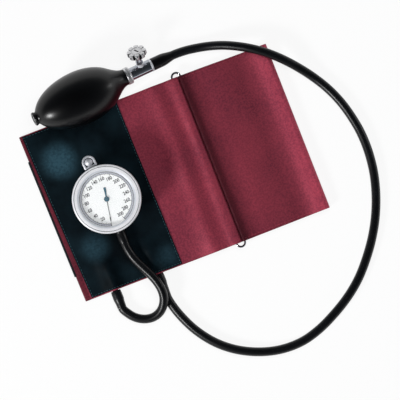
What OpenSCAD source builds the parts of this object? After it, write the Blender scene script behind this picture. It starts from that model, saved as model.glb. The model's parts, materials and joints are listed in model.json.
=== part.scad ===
// Aneroid sphygmomanometer, lying as it is put down: the cuff drawn through its slide frame and
// folded flat, the gauge on the strap, the bulb with its release valve beside it, and two hoses.
// Millimetres. +X runs along the cuff to its right fold, +Y across it to its top edge, +Z up.
// The origin is the middle of the cuff's underside, which lies on the table.

/* [Cuff] */
// Length of the folded cuff, from the strap's end to the right fold
cuff_len = 236; // [226:1:244]
// Width of the cuff along the arm
cuff_w = 160; // [150:1:170]
// Thickness of the nylon cloth
ply_t = 1; // [0.8:0.1:1.2]
// Thickness of the inner lining
lining_t = 0.8; // [0.6:0.1:1.1]
// Gap between one cloth layer and the next
lay_gap = 0.3; // [0.25:0.05:0.45]
// Height of the loop that the cuff forms at its right fold
fold_h = 10; // [9:0.5:12]
// How far the cloth between the slide frame and the right fold hangs down
sag = 2.8; // [1:0.1:3]
// Share of the layers' height that is left at the sewn edges
edge_k = 0.36; // [0.34:0.01:0.4]
// Height of the soft ridges across the strap
ridge_h = 2.4; // [1:0.1:4]

/* [Fastening] */
// Width of the hook patch, the loop panel and the bladder, across the cuff
patch_w = 112; // [104:1:120]
// Thickness of the loop panel
loop_t = 0.7; // [0.5:0.1:1]
// Thickness of the hook patch
hook_t = 0.8; // [0.5:0.1:1]
// Length of the black panel on the strap
panel_len = 86; // [80:1:90]
// Thickness of the black panel
panel_t = 0.7; // [0.5:0.1:1]

/* [Slide frame] */
// Place of the slide frame along the cuff
frame_x = 31.6; // [28:0.2:36]
// Outside width of the wire frame
frame_w = 10; // [9.6:0.2:12]
// Outside length of the wire frame
frame_len = 170; // [170:1:180]
// Diameter of the frame's wire
wire_d = 2; // [1.6:0.1:2.2]
// Gap between the wire and the cloth round it
wire_gap = 0.2; // [0.1:0.05:0.3]

/* [Bladder] */
// Length of the rubber bladder
bladder_len = 206; // [190:1:212]
// Thickness of the empty bladder
bladder_t = 2.1; // [1.6:0.1:2.6]
// Outside diameter of the bladder's two spouts
port_d = 5.5; // [5:0.1:6]
// Bore of the spouts
port_bore = 3.2; // [2.6:0.1:3.6]
// Distance of the gauge's spout from the bladder's left end
port_inset = 13.5; // [11:0.5:18]
// Distance between the two spouts
port_pitch = 41.5; // [39:0.5:44]

/* [Hoses] */
// Outside diameter of both hoses
hose_d = 8.1; // [7.6:0.1:8.4]
// Bore of both hoses
hose_bore = 4; // [3.4:0.1:4.6]
// Diameter of a hose end stretched over its connector
hose_end_d = 9.6; // [9:0.1:9.8]
// Length of a stretched hose end
hose_end_len = 14; // [12:0.5:15]
// Outside diameter of the sleeve on the bulb's hose
sleeve_d = 11; // [10:0.1:12]
// Length of that sleeve
sleeve_len = 20; // [15:0.5:20.5]

/* [Gauge] */
// Place of the gauge along the cuff
gauge_x = -66; // [-70:0.5:-62]
// Outside radius of the case
case_r = 28.5; // [28.2:0.1:29]
// How far the bezel stands out round the case
bezel_rim = 2.5; // [2:0.1:3]
// Height of the bezel
bezel_h = 12.5; // [11:0.5:14]
// Radius of the opening in the bezel
sight_r = 24.7; // [23:0.1:25]
// Wall of the case
case_wall = 1.4; // [1:0.1:1.6]
// Floor of the case
case_floor = 1.5; // [1.2:0.1:2]
// Thickness of the dial
dial_t = 0.6; // [0.4:0.1:0.8]
// Thickness of the lens
lens_t = 1.8; // [1.4:0.1:2.2]
// Thickness of the gasket below the lens
gasket_t = 0.8; // [0.6:0.1:1.2]
// Free height between the dial and the gasket, for the pointer
pointer_room = 1.6; // [1.5:0.1:2.4]
// Length of the pointer from its hub to its tip
pointer_len = 22.6; // [20:0.1:23]
// Bore of the gauge's hose nipple
nipple_bore = 2.4; // [1.6:0.1:3]

/* [Movement] */
// Radius of the corrugated capsule
capsule_r = 18; // [16:0.2:18.6]
// Depth of the capsule's corrugations
wave_h = 0.7; // [0.4:0.05:0.8]
// Lift of the capsule at full scale
capsule_lift = 1.5; // [1.4:0.05:1.5]
// Teeth of the pinion
pinion_teeth = 10; // [10:1:12]
// Ratio of the sector to the pinion
gear_ratio = 10; // [10:1:11]
// Module of the teeth
tooth_m = 0.3; // [0.28:0.01:0.3]
// Thickness of the sector
sector_t = 0.8; // [0.6:0.1:1]
// Thickness of the two movement plates
plate_t = 1.2; // [1:0.1:1.4]
// Free height between the movement plates
plate_room = 4.6; // [4.4:0.1:5.4]

/* [Hanging bow] */
// Diameter of the bow's wire
bow_wire = 2; // [1.6:0.1:2.2]
// Radius of the bow's bend, to the middle of its wire
bow_r = 5; // [4.6:0.1:5.6]
// Radius of the dome inside the bow
dome_r = 3.1; // [2.6:0.1:3.2]

/* [Bulb] */
// Largest radius of the bulb
bulb_r = 24.3; // [23:0.1:24.6]
// Length of the bulb
bulb_len = 92; // [88:0.5:93]
// Wall of the bulb
bulb_wall = 2.6; // [2:0.1:3.2]
// Radius of the neck that takes the release valve
neck_r = 7.8; // [7.4:0.1:8]
// Radius of the tail that takes the inlet valve
tail_r = 5.6; // [5.2:0.1:6]

/* [Valves] */
// Radius of the release valve's body
valve_r = 5.4; // [5.2:0.1:5.6]
// Length of the release valve's body
valve_len = 21.6; // [20:0.2:22.4]
// Radius of the collar between the bulb and the valve
collar_r = 8.1; // [8:0.1:8.6]
// Width of the collar
collar_w = 5; // [4.4:0.1:5.6]
// Radius of the spindle
spindle_r = 1.9; // [1.6:0.1:2]
// Running clearance of the spindle, the arbors and the pins
run_gap = 0.05; // [0.03:0.01:0.08]
// Radius over the knob's lobes
knob_r = 9; // [8:0.1:9.4]
// Thickness of the knob
knob_t = 7; // [6:0.1:8]
// Number of lobes on the knob
knob_lobes = 8; // [6:1:10]
// Radius of both check balls
ball_r = 1.8; // [1.6:0.05:1.9]
// Travel of both check balls
ball_travel = 1; // [0.6:0.1:1]

/* [Hidden] */
$fn = 48;
eps = 0.01;

// Heights of the layers at the cuff's middle, from the table up
half_w = cuff_w / 2;
bladder_z0 = ply_t + lay_gap;
bladder_z1 = bladder_z0 + bladder_t;
lining_z0 = bladder_z1 + lay_gap;
lining_z1 = lining_z0 + lining_t;
body_z0 = lining_z1 + lay_gap + 0.1;
body_z1 = body_z0 + ply_t;
loop_z0 = body_z1 + lay_gap;
loop_z1 = loop_z0 + loop_t;
hook_z0 = loop_z1 + lay_gap;
hook_z1 = hook_z0 + hook_t;
strap_z0 = max(hook_z1 + lay_gap, body_z1 + wire_d + 2 * wire_gap);
strap_z1 = strap_z0 + ply_t;
panel_z0 = strap_z1 + lay_gap;
panel_z1 = panel_z0 + panel_t;

// Rows across the width at which each layer's height is worked out
row_1 = 0.525 * half_w;
row_2 = patch_w / 2;
rows = [-half_w, -row_2, -row_1, 0, row_1, row_2, half_w];

// Crown of the cuff: the layers thin out to the sewn edges, but not where the wire holds them
function crown(y) = 1 - (1 - edge_k) * pow(y / half_w, 4);
crown_rows = [[0, 1], [row_1, crown(row_1)], [row_2, crown(row_2)], [half_w, edge_k]];
crown_from = frame_x - 52;
crown_to = frame_x - 12;
function crown_share(x) = lookup(x, [[crown_from, 1], [crown_to, 0]]);
function squeeze(x, y) = 1 - (1 - lookup(abs(y), crown_rows)) * crown_share(x);

// The layers above the bladder rise over its two spouts at the lower edge
bladder_x0 = -bladder_len / 2;
port_a_x = bladder_x0 + port_inset;
port_b_x = port_a_x + port_pitch;
port_xs = [port_a_x, port_b_x];
port_spread = 7;
port_z = hose_end_d / 2;
port_top = port_z + port_d / 2 + lay_gap + 0.3;
function bell(x) = exp(-pow((x - port_a_x) / port_spread, 2)) + exp(-pow((x - port_b_x) / port_spread, 2));
rise_rows = [
    [row_1, 0],
    [row_2, port_top - lining_z0 * crown(row_2)],
    [half_w, port_top - lining_z0 * edge_k]
];
function rise(x, y) = y > -row_1 ? 0 : lookup(-y, rise_rows) * bell(x);
function rise_share(level) = lookup(level, [[ply_t, 0], [lining_z0, 1]]);

// Soft ridges beside the slide frame, stronger towards the top edge
ridge_1_x = frame_x - 39;
ridge_2_x = frame_x - 17;
ridge_w = 7;
function ridge(x) = exp(-pow((x - ridge_1_x) / ridge_w, 2)) + exp(-pow((x - ridge_2_x) / ridge_w, 2));
function ridge_share(y) = 0.3 + 0.7 * (y + half_w) / cuff_w;
function ridge_z(x, y, level) =
    level < strap_z0 - eps || x > frame_x - 4 ? 0 : ridge_h * ridge(x) * ridge_share(y);

function cloth(x, y, level) =
    [x, y, level * squeeze(x, y) + rise_share(level) * rise(x, y) + ridge_z(x, y, level)];

// A closed sheet between two grids of points; the grids run along the path and across the rows
module sheet(upper, lower) {
    n = len(upper);
    m = len(upper[0]);
    pts = [each [for (r = upper) each r], each [for (r = lower) each r]];
    low = n * m;
    // Each cell is cut along the same diagonal in X and Y, so that stacked layers keep their gap
    function cut(a, b, c, d, rising) = rising ? [[a, b, d], [b, c, d]] : [[a, b, c], [a, c, d]];
    cells = [for (i = [0:n - 2]) for (j = [0:m - 2]) i * m + j];
    function rising(c) = pts[c + m][0] > pts[c][0];
    top_faces = [for (c = cells) each cut(c, c + 1, c + m + 1, c + m, rising(c))];
    low_faces = [for (c = cells) each [for (f = cut(c, c + 1, c + m + 1, c + m, rising(c)))
        [low + f[0], low + f[2], low + f[1]]]];
    end_faces = [for (j = [0:m - 2]) let (a = j, b = (n - 1) * m + j) each [
        [a, low + a, low + a + 1], [a, low + a + 1, a + 1],
        [b, b + 1, low + b + 1], [b, low + b + 1, low + b]]];
    side_faces = [for (i = [0:n - 2]) let (a = i * m, b = i * m + m - 1) each [
        [a, a + m, low + a + m], [a, low + a + m, low + a],
        [b, low + b, low + b + m], [b, low + b + m, b + m]]];
    polyhedron(pts, [each top_faces, each low_faces, each end_faces, each side_faces]);
}

// Points of an arc in the plane of X and height
function fold(cx, cz, r, from, to, n) =
    [for (i = [0:n]) let (a = from + (to - from) * i / n) [cx + r * cos(a), cz + r * sin(a)]];

// The two faces of a ribbon of cloth, half its thickness to each side of its path
function heading(p, i) = let (d = p[min(i + 1, len(p) - 1)] - p[max(i - 1, 0)]) d / norm(d);
function offset_path(p, t) = [for (i = [0:len(p) - 1]) let (d = heading(p, i)) p[i] + t * [-d[1], d[0]]];
module ribbon(path, t, ys) {
    left = offset_path(path, t / 2);
    right = offset_path(path, -t / 2);
    sheet([for (q = left) [for (y = ys) cloth(q[0], y, q[1])]],
          [for (q = right) [for (y = ys) cloth(q[0], y, q[1])]]);
}

// A flat layer from x0 to x1 between two levels
port_steps = [-14, -9, -4.5, 0, 4.5, 9, 14];
port_cols = [for (p = port_xs) for (d = port_steps) p + d];
cols = [each port_cols, crown_from, crown_to];
function columns(x0, x1) = [x0, each [for (x = cols) if (x > x0 + 1 && x < x1 - 1) x], x1];
module layer(x0, x1, z0, z1, ys) {
    xs = columns(x0, x1);
    sheet([for (i = [len(xs) - 1:-1:0]) [for (y = ys) cloth(xs[i], y, z1)]],
          [for (i = [len(xs) - 1:-1:0]) [for (y = ys) cloth(xs[i], y, z0)]]);
}

// The cuff's ends, folds and the wire's place
strap_end_x = -cuff_len / 2;
right_x = cuff_len / 2;
body_mid = (body_z0 + body_z1) / 2;
strap_mid = (strap_z0 + strap_z1) / 2;
wire_z = (body_z1 + strap_z0) / 2;
bar_x = (frame_w - wire_d) / 2;
loop_fold_r = (strap_mid - body_mid) / 2;
left_fold_r = (body_mid - ply_t / 2) / 2;
left_fold_x = strap_end_x + 1.7;
right_fold_r = (fold_h - ply_t) / 2;
right_fold_x = right_x - fold_h / 2;
strap_fold_x = frame_x - bar_x + 3;
hem_x = frame_x + bar_x;
hem_tail = 11;

// Path of the cloth from its hem round the frame's right bar to the strap's end
hem_path = [[hem_x + hem_tail, body_mid], each fold(hem_x, wire_z, loop_fold_r, 270, 90, 6)];
right_steps = 9;
function right_z(u) = strap_mid + (fold_h - ply_t / 2 - strap_mid) * u - sag * pow(sin(180 * u), 1.5);
right_path = [for (i = [1:right_steps - 1]) let (u = i / right_steps)
    [hem_x + (right_fold_x - hem_x) * u, right_z(u)]];
right_fold_path = fold(right_fold_x, fold_h / 2, right_fold_r, 90, -90, 8);
under_path = [for (x = [crown_to, crown_from, -60]) [x, ply_t / 2]];
left_fold_path = fold(left_fold_x, ply_t / 2 + left_fold_r, left_fold_r, 270, 90, 6);
body_path = [for (x = cols) [x, body_mid]];
strap_fold_path = fold(strap_fold_x, wire_z, loop_fold_r, -90, 90, 6);
ridge_cols = [for (d = [-13, -19, -25, -31, -37, -43, -49, -56]) frame_x + d];
strap_path = [for (x = [each ridge_cols, each [for (i = [len(port_cols) - 1:-1:0]) port_cols[i]],
                        strap_end_x]) [x, strap_mid]];
cuff_path = [each hem_path, each right_path, each right_fold_path, each under_path,
             each left_fold_path, each body_path, each strap_fold_path, each strap_path];

module cuff_shell() {
    color([0.55, 0.14, 0.22])
        ribbon(cuff_path, ply_t, rows);
}

lining_margin = 5;
lining_x0 = bladder_x0 - lining_margin;
lining_x1 = right_fold_x - 13;
module cuff_lining() {
    color([0.42, 0.1, 0.17])
        layer(lining_x0, lining_x1, lining_z0, lining_z1, rows);
}

patch_rows = [-row_2, -row_1, 0, row_1, row_2];
bladder_room = 6;
module bladder() {
    color([0.12, 0.12, 0.13])
        layer(bladder_x0, bladder_x0 + bladder_len - bladder_room, bladder_z0, bladder_z1, patch_rows);
}

// The loop panel is sewn to the outside of the cuff and runs round its left fold
loop_mid = (loop_z0 + loop_z1) / 2;
loop_left_r = left_fold_r + ply_t / 2 + lay_gap + loop_t / 2;
module loop_panel() {
    flat = [for (x = [each port_cols, crown_from]) [x, loop_mid]];
    color([0.06, 0.09, 0.1])
        ribbon([each fold(left_fold_x, ply_t / 2 + left_fold_r, loop_left_r, 205, 90, 6), each flat],
               loop_t, patch_rows);
}

hook_margin = 6;
module hook_patch() {
    color([0.05, 0.06, 0.07])
        layer(strap_end_x + hook_margin, crown_from - hook_margin, hook_z0, hook_z1, patch_rows);
}

// The black panel is cut a little out of square, as its left and right edges show
panel_margin = 2.5;
panel_x1 = -25.5;
panel_x0 = panel_x1 - panel_len;
panel_skew = [-0.032, -0.0137];
panel_rows = [-half_w + panel_margin, -row_2, -row_1, 0, row_1, row_2, half_w - panel_margin];
module strap_panel() {
    xs = columns(panel_x0, panel_x1);
    n = len(xs) - 1;
    function skew(i, y) = i == 0 ? panel_skew[0] * y : i == n ? panel_skew[1] * y : 0;
    color([0.05, 0.1, 0.12])
        sheet([for (i = [n:-1:0]) [for (y = panel_rows) cloth(xs[i] + skew(i, y), y, panel_z1)]],
              [for (i = [n:-1:0]) [for (y = panel_rows) cloth(xs[i] + skew(i, y), y, panel_z0)]]);
}

// A chromed wire bent to a long closed frame: straight bars with round ends
module slide_frame() {
    side = frame_len / 2 - frame_w / 2;
    color([0.8, 0.8, 0.82])
        translate([frame_x, 0, wire_z]) {
            for (s = [-1, 1])
                translate([s * bar_x, 0, 0])
                    rotate([90, 0, 0])
                        cylinder(h = 2 * side, d = wire_d, center = true);
            for (s = [0, 180])
                rotate([0, 0, s])
                    translate([0, side, 0])
                        rotate_extrude(angle = 180)
                            translate([bar_x, 0])
                                circle(d = wire_d);
        }
}

// Spouts moulded on the bladder leave the pocket's lower edge
port_y0 = -row_2 - lay_gap;
port_y1 = -half_w - 0.6;
module port(x) {
    translate([x, port_y0, port_z])
        rotate([90, 0, 0])
            difference() {
                cylinder(h = port_y0 - port_y1, d = port_d);
                translate([0, 0, -eps])
                    cylinder(h = port_y0 - port_y1 + 2 * eps, d = port_bore);
            }
}
module bladder_port_gauge() {
    color([0.1, 0.1, 0.1])
        port(port_a_x);
}
module bladder_port_bulb() {
    color([0.1, 0.1, 0.1])
        port(port_b_x);
}

// Double-ended connector: one barbed side in the spout, the other in the hose end
connector_flange = 1;
connector_in = 8;
connector_out = 11;
module barbed_rod(r, h, n) {
    pitch = h / n;
    for (i = [0:n - 1])
        translate([0, 0, i * pitch]) {
            cylinder(h = pitch / 2, r = r);
            cylinder(h = pitch, r1 = r, r2 = r * 0.8);
        }
}
module tube_connector(x) {
    translate([x, port_y1, port_z])
        rotate([90, 0, 0])
            difference() {
                union() {
                    cylinder(h = connector_flange, d = port_d);
                    translate([0, 0, connector_flange])
                        barbed_rod(hose_bore / 2, connector_out, 3);
                    rotate([180, 0, 0])
                        barbed_rod(port_bore / 2, connector_in, 2);
                }
                translate([0, 0, -connector_in - 1])
                    cylinder(h = connector_in + connector_out + 3, d = port_bore - 1.4);
            }
}
module tube_connector_gauge() {
    color([0.75, 0.75, 0.76])
        tube_connector(port_a_x);
}
module tube_connector_bulb() {
    color([0.75, 0.75, 0.76])
        tube_connector(port_b_x);
}

hose_end_y = port_y1 - connector_flange;
module hose_end(x) {
    translate([x, hose_end_y, port_z])
        rotate([90, 0, 0])
            rotate_extrude()
                polygon([
                    [hose_bore / 2, 0], [hose_end_d / 2 - 0.5, 0], [hose_end_d / 2, 0.5],
                    [hose_end_d / 2, hose_end_len * 0.6],
                    [(hose_end_d + hose_d) / 4, hose_end_len * 0.8],
                    [hose_d / 2, hose_end_len], [hose_bore / 2, hose_end_len]]);
}
module hose_end_gauge() {
    color([0.08, 0.08, 0.08])
        hose_end(port_a_x);
}
module hose_end_bulb() {
    color([0.08, 0.08, 0.08])
        hose_end(port_b_x);
}

// Smooth route through hand-set points, and a tube swept along it
function curve(p, i, t) = let (
    a = p[max(i - 1, 0)], b = p[i], c = p[i + 1], d = p[min(i + 2, len(p) - 1)])
    0.5 * (2 * b + (c - a) * t + (2 * a - 5 * b + 4 * c - d) * t * t + (3 * b - a - 3 * c + d) * t * t * t);
function route(p, steps) = [each [for (i = [0:len(p) - 2]) for (s = [0:steps - 1]) curve(p, i, s / steps)],
                            p[len(p) - 1]];
function tangent(p, i) = let (d = p[min(i + 1, len(p) - 1)] - p[max(i - 1, 0)]) d / norm(d);
module tube(p, d, sides, start, stop) {
    n = len(p);
    pts = [for (i = [0:n - 1]) let (
        t = i == 0 ? start : i == n - 1 ? stop : tangent(p, i),
        u = cross([0, 0, 1], t) / norm(cross([0, 0, 1], t)),
        v = cross(t, u))
        for (k = [0:sides - 1]) let (a = 360 * k / sides) p[i] + d / 2 * (cos(a) * u + sin(a) * v)];
    walls = [for (i = [0:n - 2]) for (k = [0:sides - 1])
        let (a = i * sides + k, b = i * sides + (k + 1) % sides)
        each [[a, b + sides, b], [a, a + sides, b + sides]]];
    polyhedron(pts, [[for (k = [0:sides - 1]) k], each walls,
                     [for (k = [sides - 1:-1:0]) (n - 1) * sides + k]]);
}

// The bulb's axis, from its tail down to the hose, and frames along it
bulb_tail = [-100.9, 90, 35.4];
bulb_yaw = 4;
bulb_pitch = 11.3;
module on_axis(s) {
    translate(bulb_tail)
        rotate([0, 90 + bulb_pitch, bulb_yaw])
            translate([0, 0, s])
                children();
}
axis_dir = [cos(bulb_pitch) * cos(bulb_yaw), cos(bulb_pitch) * sin(bulb_yaw), -sin(bulb_pitch)];
collar_s = bulb_len;
body_s = collar_s + collar_w;
nipple_s = body_s + valve_len;
sleeve_s = nipple_s + 0.2;
sleeve_end = bulb_tail + (sleeve_s + sleeve_len) * axis_dir;

// The gauge lies on the strap's black panel
gauge_z = panel_z1 + lay_gap;
socket_z = 5.2;
case_in_r = case_r - case_wall;
nipple_len = 11;
nipple_y = case_r + 1;
gauge_hose_start = [gauge_x, -nipple_y - nipple_len - 1.5, gauge_z + socket_z];

// Route points of the two hoses, between the ends that their fittings set
gauge_hose_points = [
    [-65.4, -49.7, 15.6], [-63.6, -57.2, 15.2], [-60.8, -64.2, 14.9], [-57.4, -71.2, 14.7],
    [-54.1, -78.5, 14.6], [-51.5, -86, 14.6], [-50.3, -93.8, 14.2], [-51.2, -101.2, 12.9],
    [-54.5, -107.6, 10.6], [-59.9, -112.2, 8], [-66.8, -114, 5.8], [-74.1, -112.8, 4.5],
    [-80.9, -108.9, 4.2], [-86, -103.1, 4.4]
];
bulb_hose_points = [
    [-47.6, -106, 4.4], [-43, -122, 4.1], [-34.9, -139.2, 4.1], [-22.9, -155.4, 4.1],
    [-7.6, -168.4, 4.1], [10.8, -177.9, 4.1], [30.1, -183.1, 4.1], [49.9, -183.5, 4.1],
    [68.3, -179, 4.1], [86.7, -170.8, 4.1], [104.2, -160.5, 4.1], [119.1, -148.6, 4.1],
    [132.3, -134.2, 4.1], [143.6, -119.1, 4.1], [153.3, -102.4, 4.1], [161, -84.1, 4.1],
    [166.3, -65.2, 4.1], [168.8, -45.8, 4.1], [168.6, -27.1, 4.1], [165.9, -10, 4.1],
    [161.7, 5.6, 4.1], [155.3, 20.8, 4.1], [147, 34.9, 4.8], [137.2, 48.1, 8], [126.7, 59.9, 12.4],
    [115.7, 70.2, 15], [104, 78.9, 15.4], [92.2, 86, 13.4], [80.6, 91.5, 10.2], [68.9, 95.4, 7],
    [57.2, 98, 5.3], [46.5, 99.4, 5.9]
];
hose_end_tip = hose_end_y - hose_end_len;
gauge_hose_end = [port_a_x, hose_end_tip, port_z];
bulb_hose_start = [port_b_x, hose_end_tip, port_z];
module gauge_hose() {
    color([0.08, 0.08, 0.08])
        tube(route([gauge_hose_start, each gauge_hose_points, gauge_hose_end], 1), hose_d, 10,
             [0, -1, 0], [0, 1, 0]);
}
module bulb_hose() {
    color([0.08, 0.08, 0.08])
        tube(route([bulb_hose_start, each bulb_hose_points, sleeve_end], 1), hose_d, 10,
             [0, -1, 0], -axis_dir);
}

// Frame of the gauge, and the same turned to the dial's upright
dial_turn = 5.2;
module at_gauge() {
    translate([gauge_x, 0, gauge_z])
        children();
}
module at_dial() {
    at_gauge()
        rotate([0, 0, dial_turn])
            children();
}

// Heights inside the gauge, from the outside of its floor
boss_top = socket_z + 3.4;
capsule_boss = 0.8;
capsule_z0 = boss_top + capsule_boss;
capsule_h = 3.6;
capsule_z1 = capsule_z0 + capsule_h;
stem_foot = capsule_z1 + run_gap;
stem_h = 1.9;
stem_top = stem_foot + stem_h;
arm_len = 5;
arm_r = 0.45;
rocker_half = asin(capsule_lift / 2 / arm_len);
rocker_z = stem_top + run_gap + arm_r + arm_len * sin(rocker_half);
base_z = rocker_z + 2.2;
top_z = base_z + plate_t + plate_room;
sector_z = base_z + plate_t + 1.2;
dial_z = top_z + plate_t + 1.4;
rim_z = dial_z + dial_t + pointer_room;
lens_z = rim_z + gasket_t;
lip_z = lens_z + lens_t + 0.1;
bezel_top = lip_z + 1.6;
bezel_r = case_r + bezel_rim;

// Spun case: floor, wall, a ledge for the dial and the hole for the pressure socket
ledge_r = case_in_r - 2.6;
module gauge_case() {
    color([0.78, 0.78, 0.8])
        at_gauge()
            difference() {
                rotate_extrude($fn = 96)
                    polygon([
                        [0, 0], [case_r - 3, 0], [case_r - 1, 0.8], [case_r, 2.6], [case_r, rim_z],
                        [case_in_r - 0.4, rim_z], [case_in_r - 0.4, dial_z], [ledge_r, dial_z],
                        [ledge_r, dial_z - 1.2], [case_in_r, dial_z - 3.6], [case_in_r, case_floor + 1.5],
                        [case_in_r - 1.5, case_floor], [0, case_floor]]);
                translate([0, -case_r - 1, socket_z])
                    rotate([-90, 0, 0])
                        cylinder(h = 6, r = socket_r + run_gap);
                for (s = [-1, 1])
                    translate([s * screw_x, 0, -eps]) {
                        cylinder(h = 0.8 + eps, r = screw_head_r + run_gap);
                        cylinder(h = case_floor + 2 * eps, r = screw_r + run_gap);
                    }
            }
}

// Bezel: a rounded ring over the lens that screws down on the case
module gauge_bezel() {
    skirt = bezel_top - bezel_h;
    round_r = 3;
    color([0.9, 0.9, 0.93])
        at_gauge()
            rotate_extrude($fn = 96)
                polygon([
                    [case_r + run_gap, skirt], [bezel_r - 1.2, skirt], [bezel_r - 0.3, skirt + 0.9],
                    each [for (a = [0:15:90])
                        [bezel_r - round_r + round_r * cos(a), bezel_top - round_r + round_r * sin(a)]],
                    [sight_r + 1.2, bezel_top - 0.5], [sight_r, lip_z + 0.5], [sight_r, lip_z],
                    [case_r + run_gap, lip_z]]);
}

lens_r = case_r - 0.6;
module gauge_lens() {
    color([0.85, 0.92, 0.95, 0.3])
        at_gauge()
            translate([0, 0, lens_z])
                rotate_extrude($fn = 96)
                    polygon([[0, 0], [lens_r, 0], [lens_r, lens_t - 0.3], [lens_r - 0.3, lens_t], [0, lens_t]]);
}

module lens_gasket() {
    color([0.15, 0.15, 0.15])
        at_gauge()
            translate([0, 0, rim_z])
                rotate_extrude($fn = 96)
                    translate([case_in_r - 0.2, 0])
                        square([lens_r - case_in_r + 0.1, gasket_t]);
}

pinion_r = pinion_teeth * tooth_m / 2;
sector_r = pinion_r * gear_ratio;
arbor_r = 0.8;
dial_r = case_in_r - 0.7;
module dial_plate() {
    color([0.95, 0.96, 0.95])
        at_dial()
            translate([0, 0, dial_z])
                difference() {
                    cylinder(h = dial_t, r = dial_r, $fn = 96);
                    translate([0, 0, -eps])
                        cylinder(h = dial_t + 2 * eps, r = arbor_r + 0.5);
                }
}

// The pointer rests at zero, where the scale's open gap begins
scale_span = 328.5;
pointer_rest = dial_turn - 90 - (360 - scale_span) / 2;
pointer_z = dial_z + dial_t + 0.4;
pointer_t = 0.4;
module pointer() {
    tail = 10.6;
    color([0.1, 0.35, 0.5])
        at_gauge()
            translate([0, 0, pointer_z])
                rotate([0, 0, pointer_rest])
                    difference() {
                        union() {
                            linear_extrude(pointer_t)
                                polygon([
                                    [-tail, -0.9], [-tail + 1, -1.1], [-2, -0.55], [2, -0.5],
                                    [pointer_len - 4, -0.3], [pointer_len, 0], [pointer_len - 4, 0.3],
                                    [2, 0.5], [-2, 0.55], [-tail + 1, 1.1], [-tail, 0.9]]);
                            cylinder(h = pointer_t + 0.5, r = 2);
                        }
                        translate([0, 0, -eps])
                            cylinder(h = pointer_t + 1, r = arbor_r);
                    }
}

// Pressure socket: the boss under the capsule, its channel and the hose nipple outside the case
socket_r = 3.2;
boss_r = 5.5;
screw_x = 3.6;
screw_r = 0.8;
screw_head_r = 1.4;
module pressure_socket() {
    inner = case_in_r - 0.3;
    color([0.8, 0.68, 0.4])
        at_gauge()
            difference() {
                union() {
                    translate([0, 0, case_floor])
                        cylinder(h = boss_top - case_floor, r = boss_r);
                    translate([-socket_r, -inner + 3, case_floor])
                        cube([2 * socket_r, inner - 3, boss_top - case_floor - 0.4]);
                    translate([0, -inner + 3 + eps, socket_z])
                        rotate([90, 0, 0])
                            cylinder(h = nipple_y - inner + 3, r = socket_r);
                    translate([0, -nipple_y, socket_z])
                        rotate([90, 0, 0])
                            barbed_rod(hose_bore / 2, nipple_len, 3);
                }
                translate([0, 0, socket_z])
                    rotate([90, 0, 0])
                        cylinder(h = nipple_y + nipple_len + 1, d = nipple_bore);
                translate([0, 0, socket_z])
                    cylinder(h = boss_top, d = nipple_bore);
                for (s = [-1, 1])
                    translate([s * screw_x, 0, case_floor - eps])
                        cylinder(h = 3, r = screw_r);
            }
}
module socket_screws() {
    color([0.7, 0.7, 0.7])
        at_gauge()
            for (s = [-1, 1])
                translate([s * screw_x, 0, 0]) {
                    cylinder(h = 0.8, r = screw_head_r);
                    cylinder(h = case_floor + 2.6, r = screw_r);
                }
}

// Capsule: two corrugated diaphragms joined at their rims, open to the socket below
module pressure_capsule() {
    skin = 0.3;
    waves = 4;
    wave_from = 5;
    rim = capsule_r - 0.8;
    mid = capsule_z0 + capsule_h / 2;
    dish = capsule_h / 2 - wave_h;
    steps = 8 * waves;
    function wave(i) = wave_h * sin(360 * waves * i / steps);
    function skin_z(i, side, off) = mid + side * (dish * (1 - 0.5 * i / steps) + off) + wave(i);
    function shell(side, off) =
        [for (i = [0:steps]) [wave_from + (rim - wave_from) * i / steps, skin_z(i, side, off)]];
    function back(p) = [for (i = [len(p) - 1:-1:0]) p[i]];
    color([0.82, 0.72, 0.45])
        at_gauge()
            rotate_extrude($fn = 72)
                polygon([
                    [nipple_bore / 2, boss_top], [4.4, boss_top], [4.4, capsule_z0 + wave_h - 0.1],
                    each shell(-1, 0), [capsule_r, mid - 0.5], [capsule_r, mid + 0.5], each back(shell(1, 0)),
                    [4.2, capsule_z1], [0, capsule_z1], [0, capsule_z1 - skin],
                    [4, capsule_z1 - skin], each shell(1, -skin),
                    each back(shell(-1, -skin)), [4, capsule_z0 + wave_h + skin],
                    [nipple_bore / 2, capsule_z0 + wave_h + skin]]);
}

// The stem stands on the capsule, and the rocker's arm rests on its round tip
stem_r = 0.9;
module capsule_stem() {
    color([0.75, 0.75, 0.75])
        at_gauge()
            translate([0, 0, stem_foot]) {
                cylinder(h = 0.6, r = 3);
                cylinder(h = stem_h - stem_r, r = stem_r);
                translate([0, 0, stem_h - stem_r])
                    sphere(r = stem_r);
            }
}

// Movement: pillars on the floor, a base plate, posts and a top plate with the wheels between
pillar_r = 1.8;
pillar_ring = capsule_r + 1 + pillar_r + 0.7;
pillar_angles = [45, 150, 285];
module on_pillars() {
    for (a = pillar_angles)
        rotate([0, 0, a])
            translate([pillar_ring, 0, 0])
                children();
}
module movement_pillars() {
    color([0.78, 0.66, 0.4])
        at_gauge()
            on_pillars()
                difference() {
                    translate([0, 0, case_floor])
                        cylinder(h = base_z - case_floor, r = pillar_r);
                    translate([0, 0, base_z - 3])
                        cylinder(h = 3 + eps, r = screw_r);
                }
}
module movement_screws() {
    color([0.7, 0.7, 0.7])
        at_gauge()
            on_pillars()
                translate([0, 0, base_z]) {
                    translate([0, 0, -2.6])
                        cylinder(h = 2.6 + plate_t, r = screw_r);
                    translate([0, 0, plate_t])
                        cylinder(h = 0.7, r = screw_head_r);
                }
}

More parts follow.
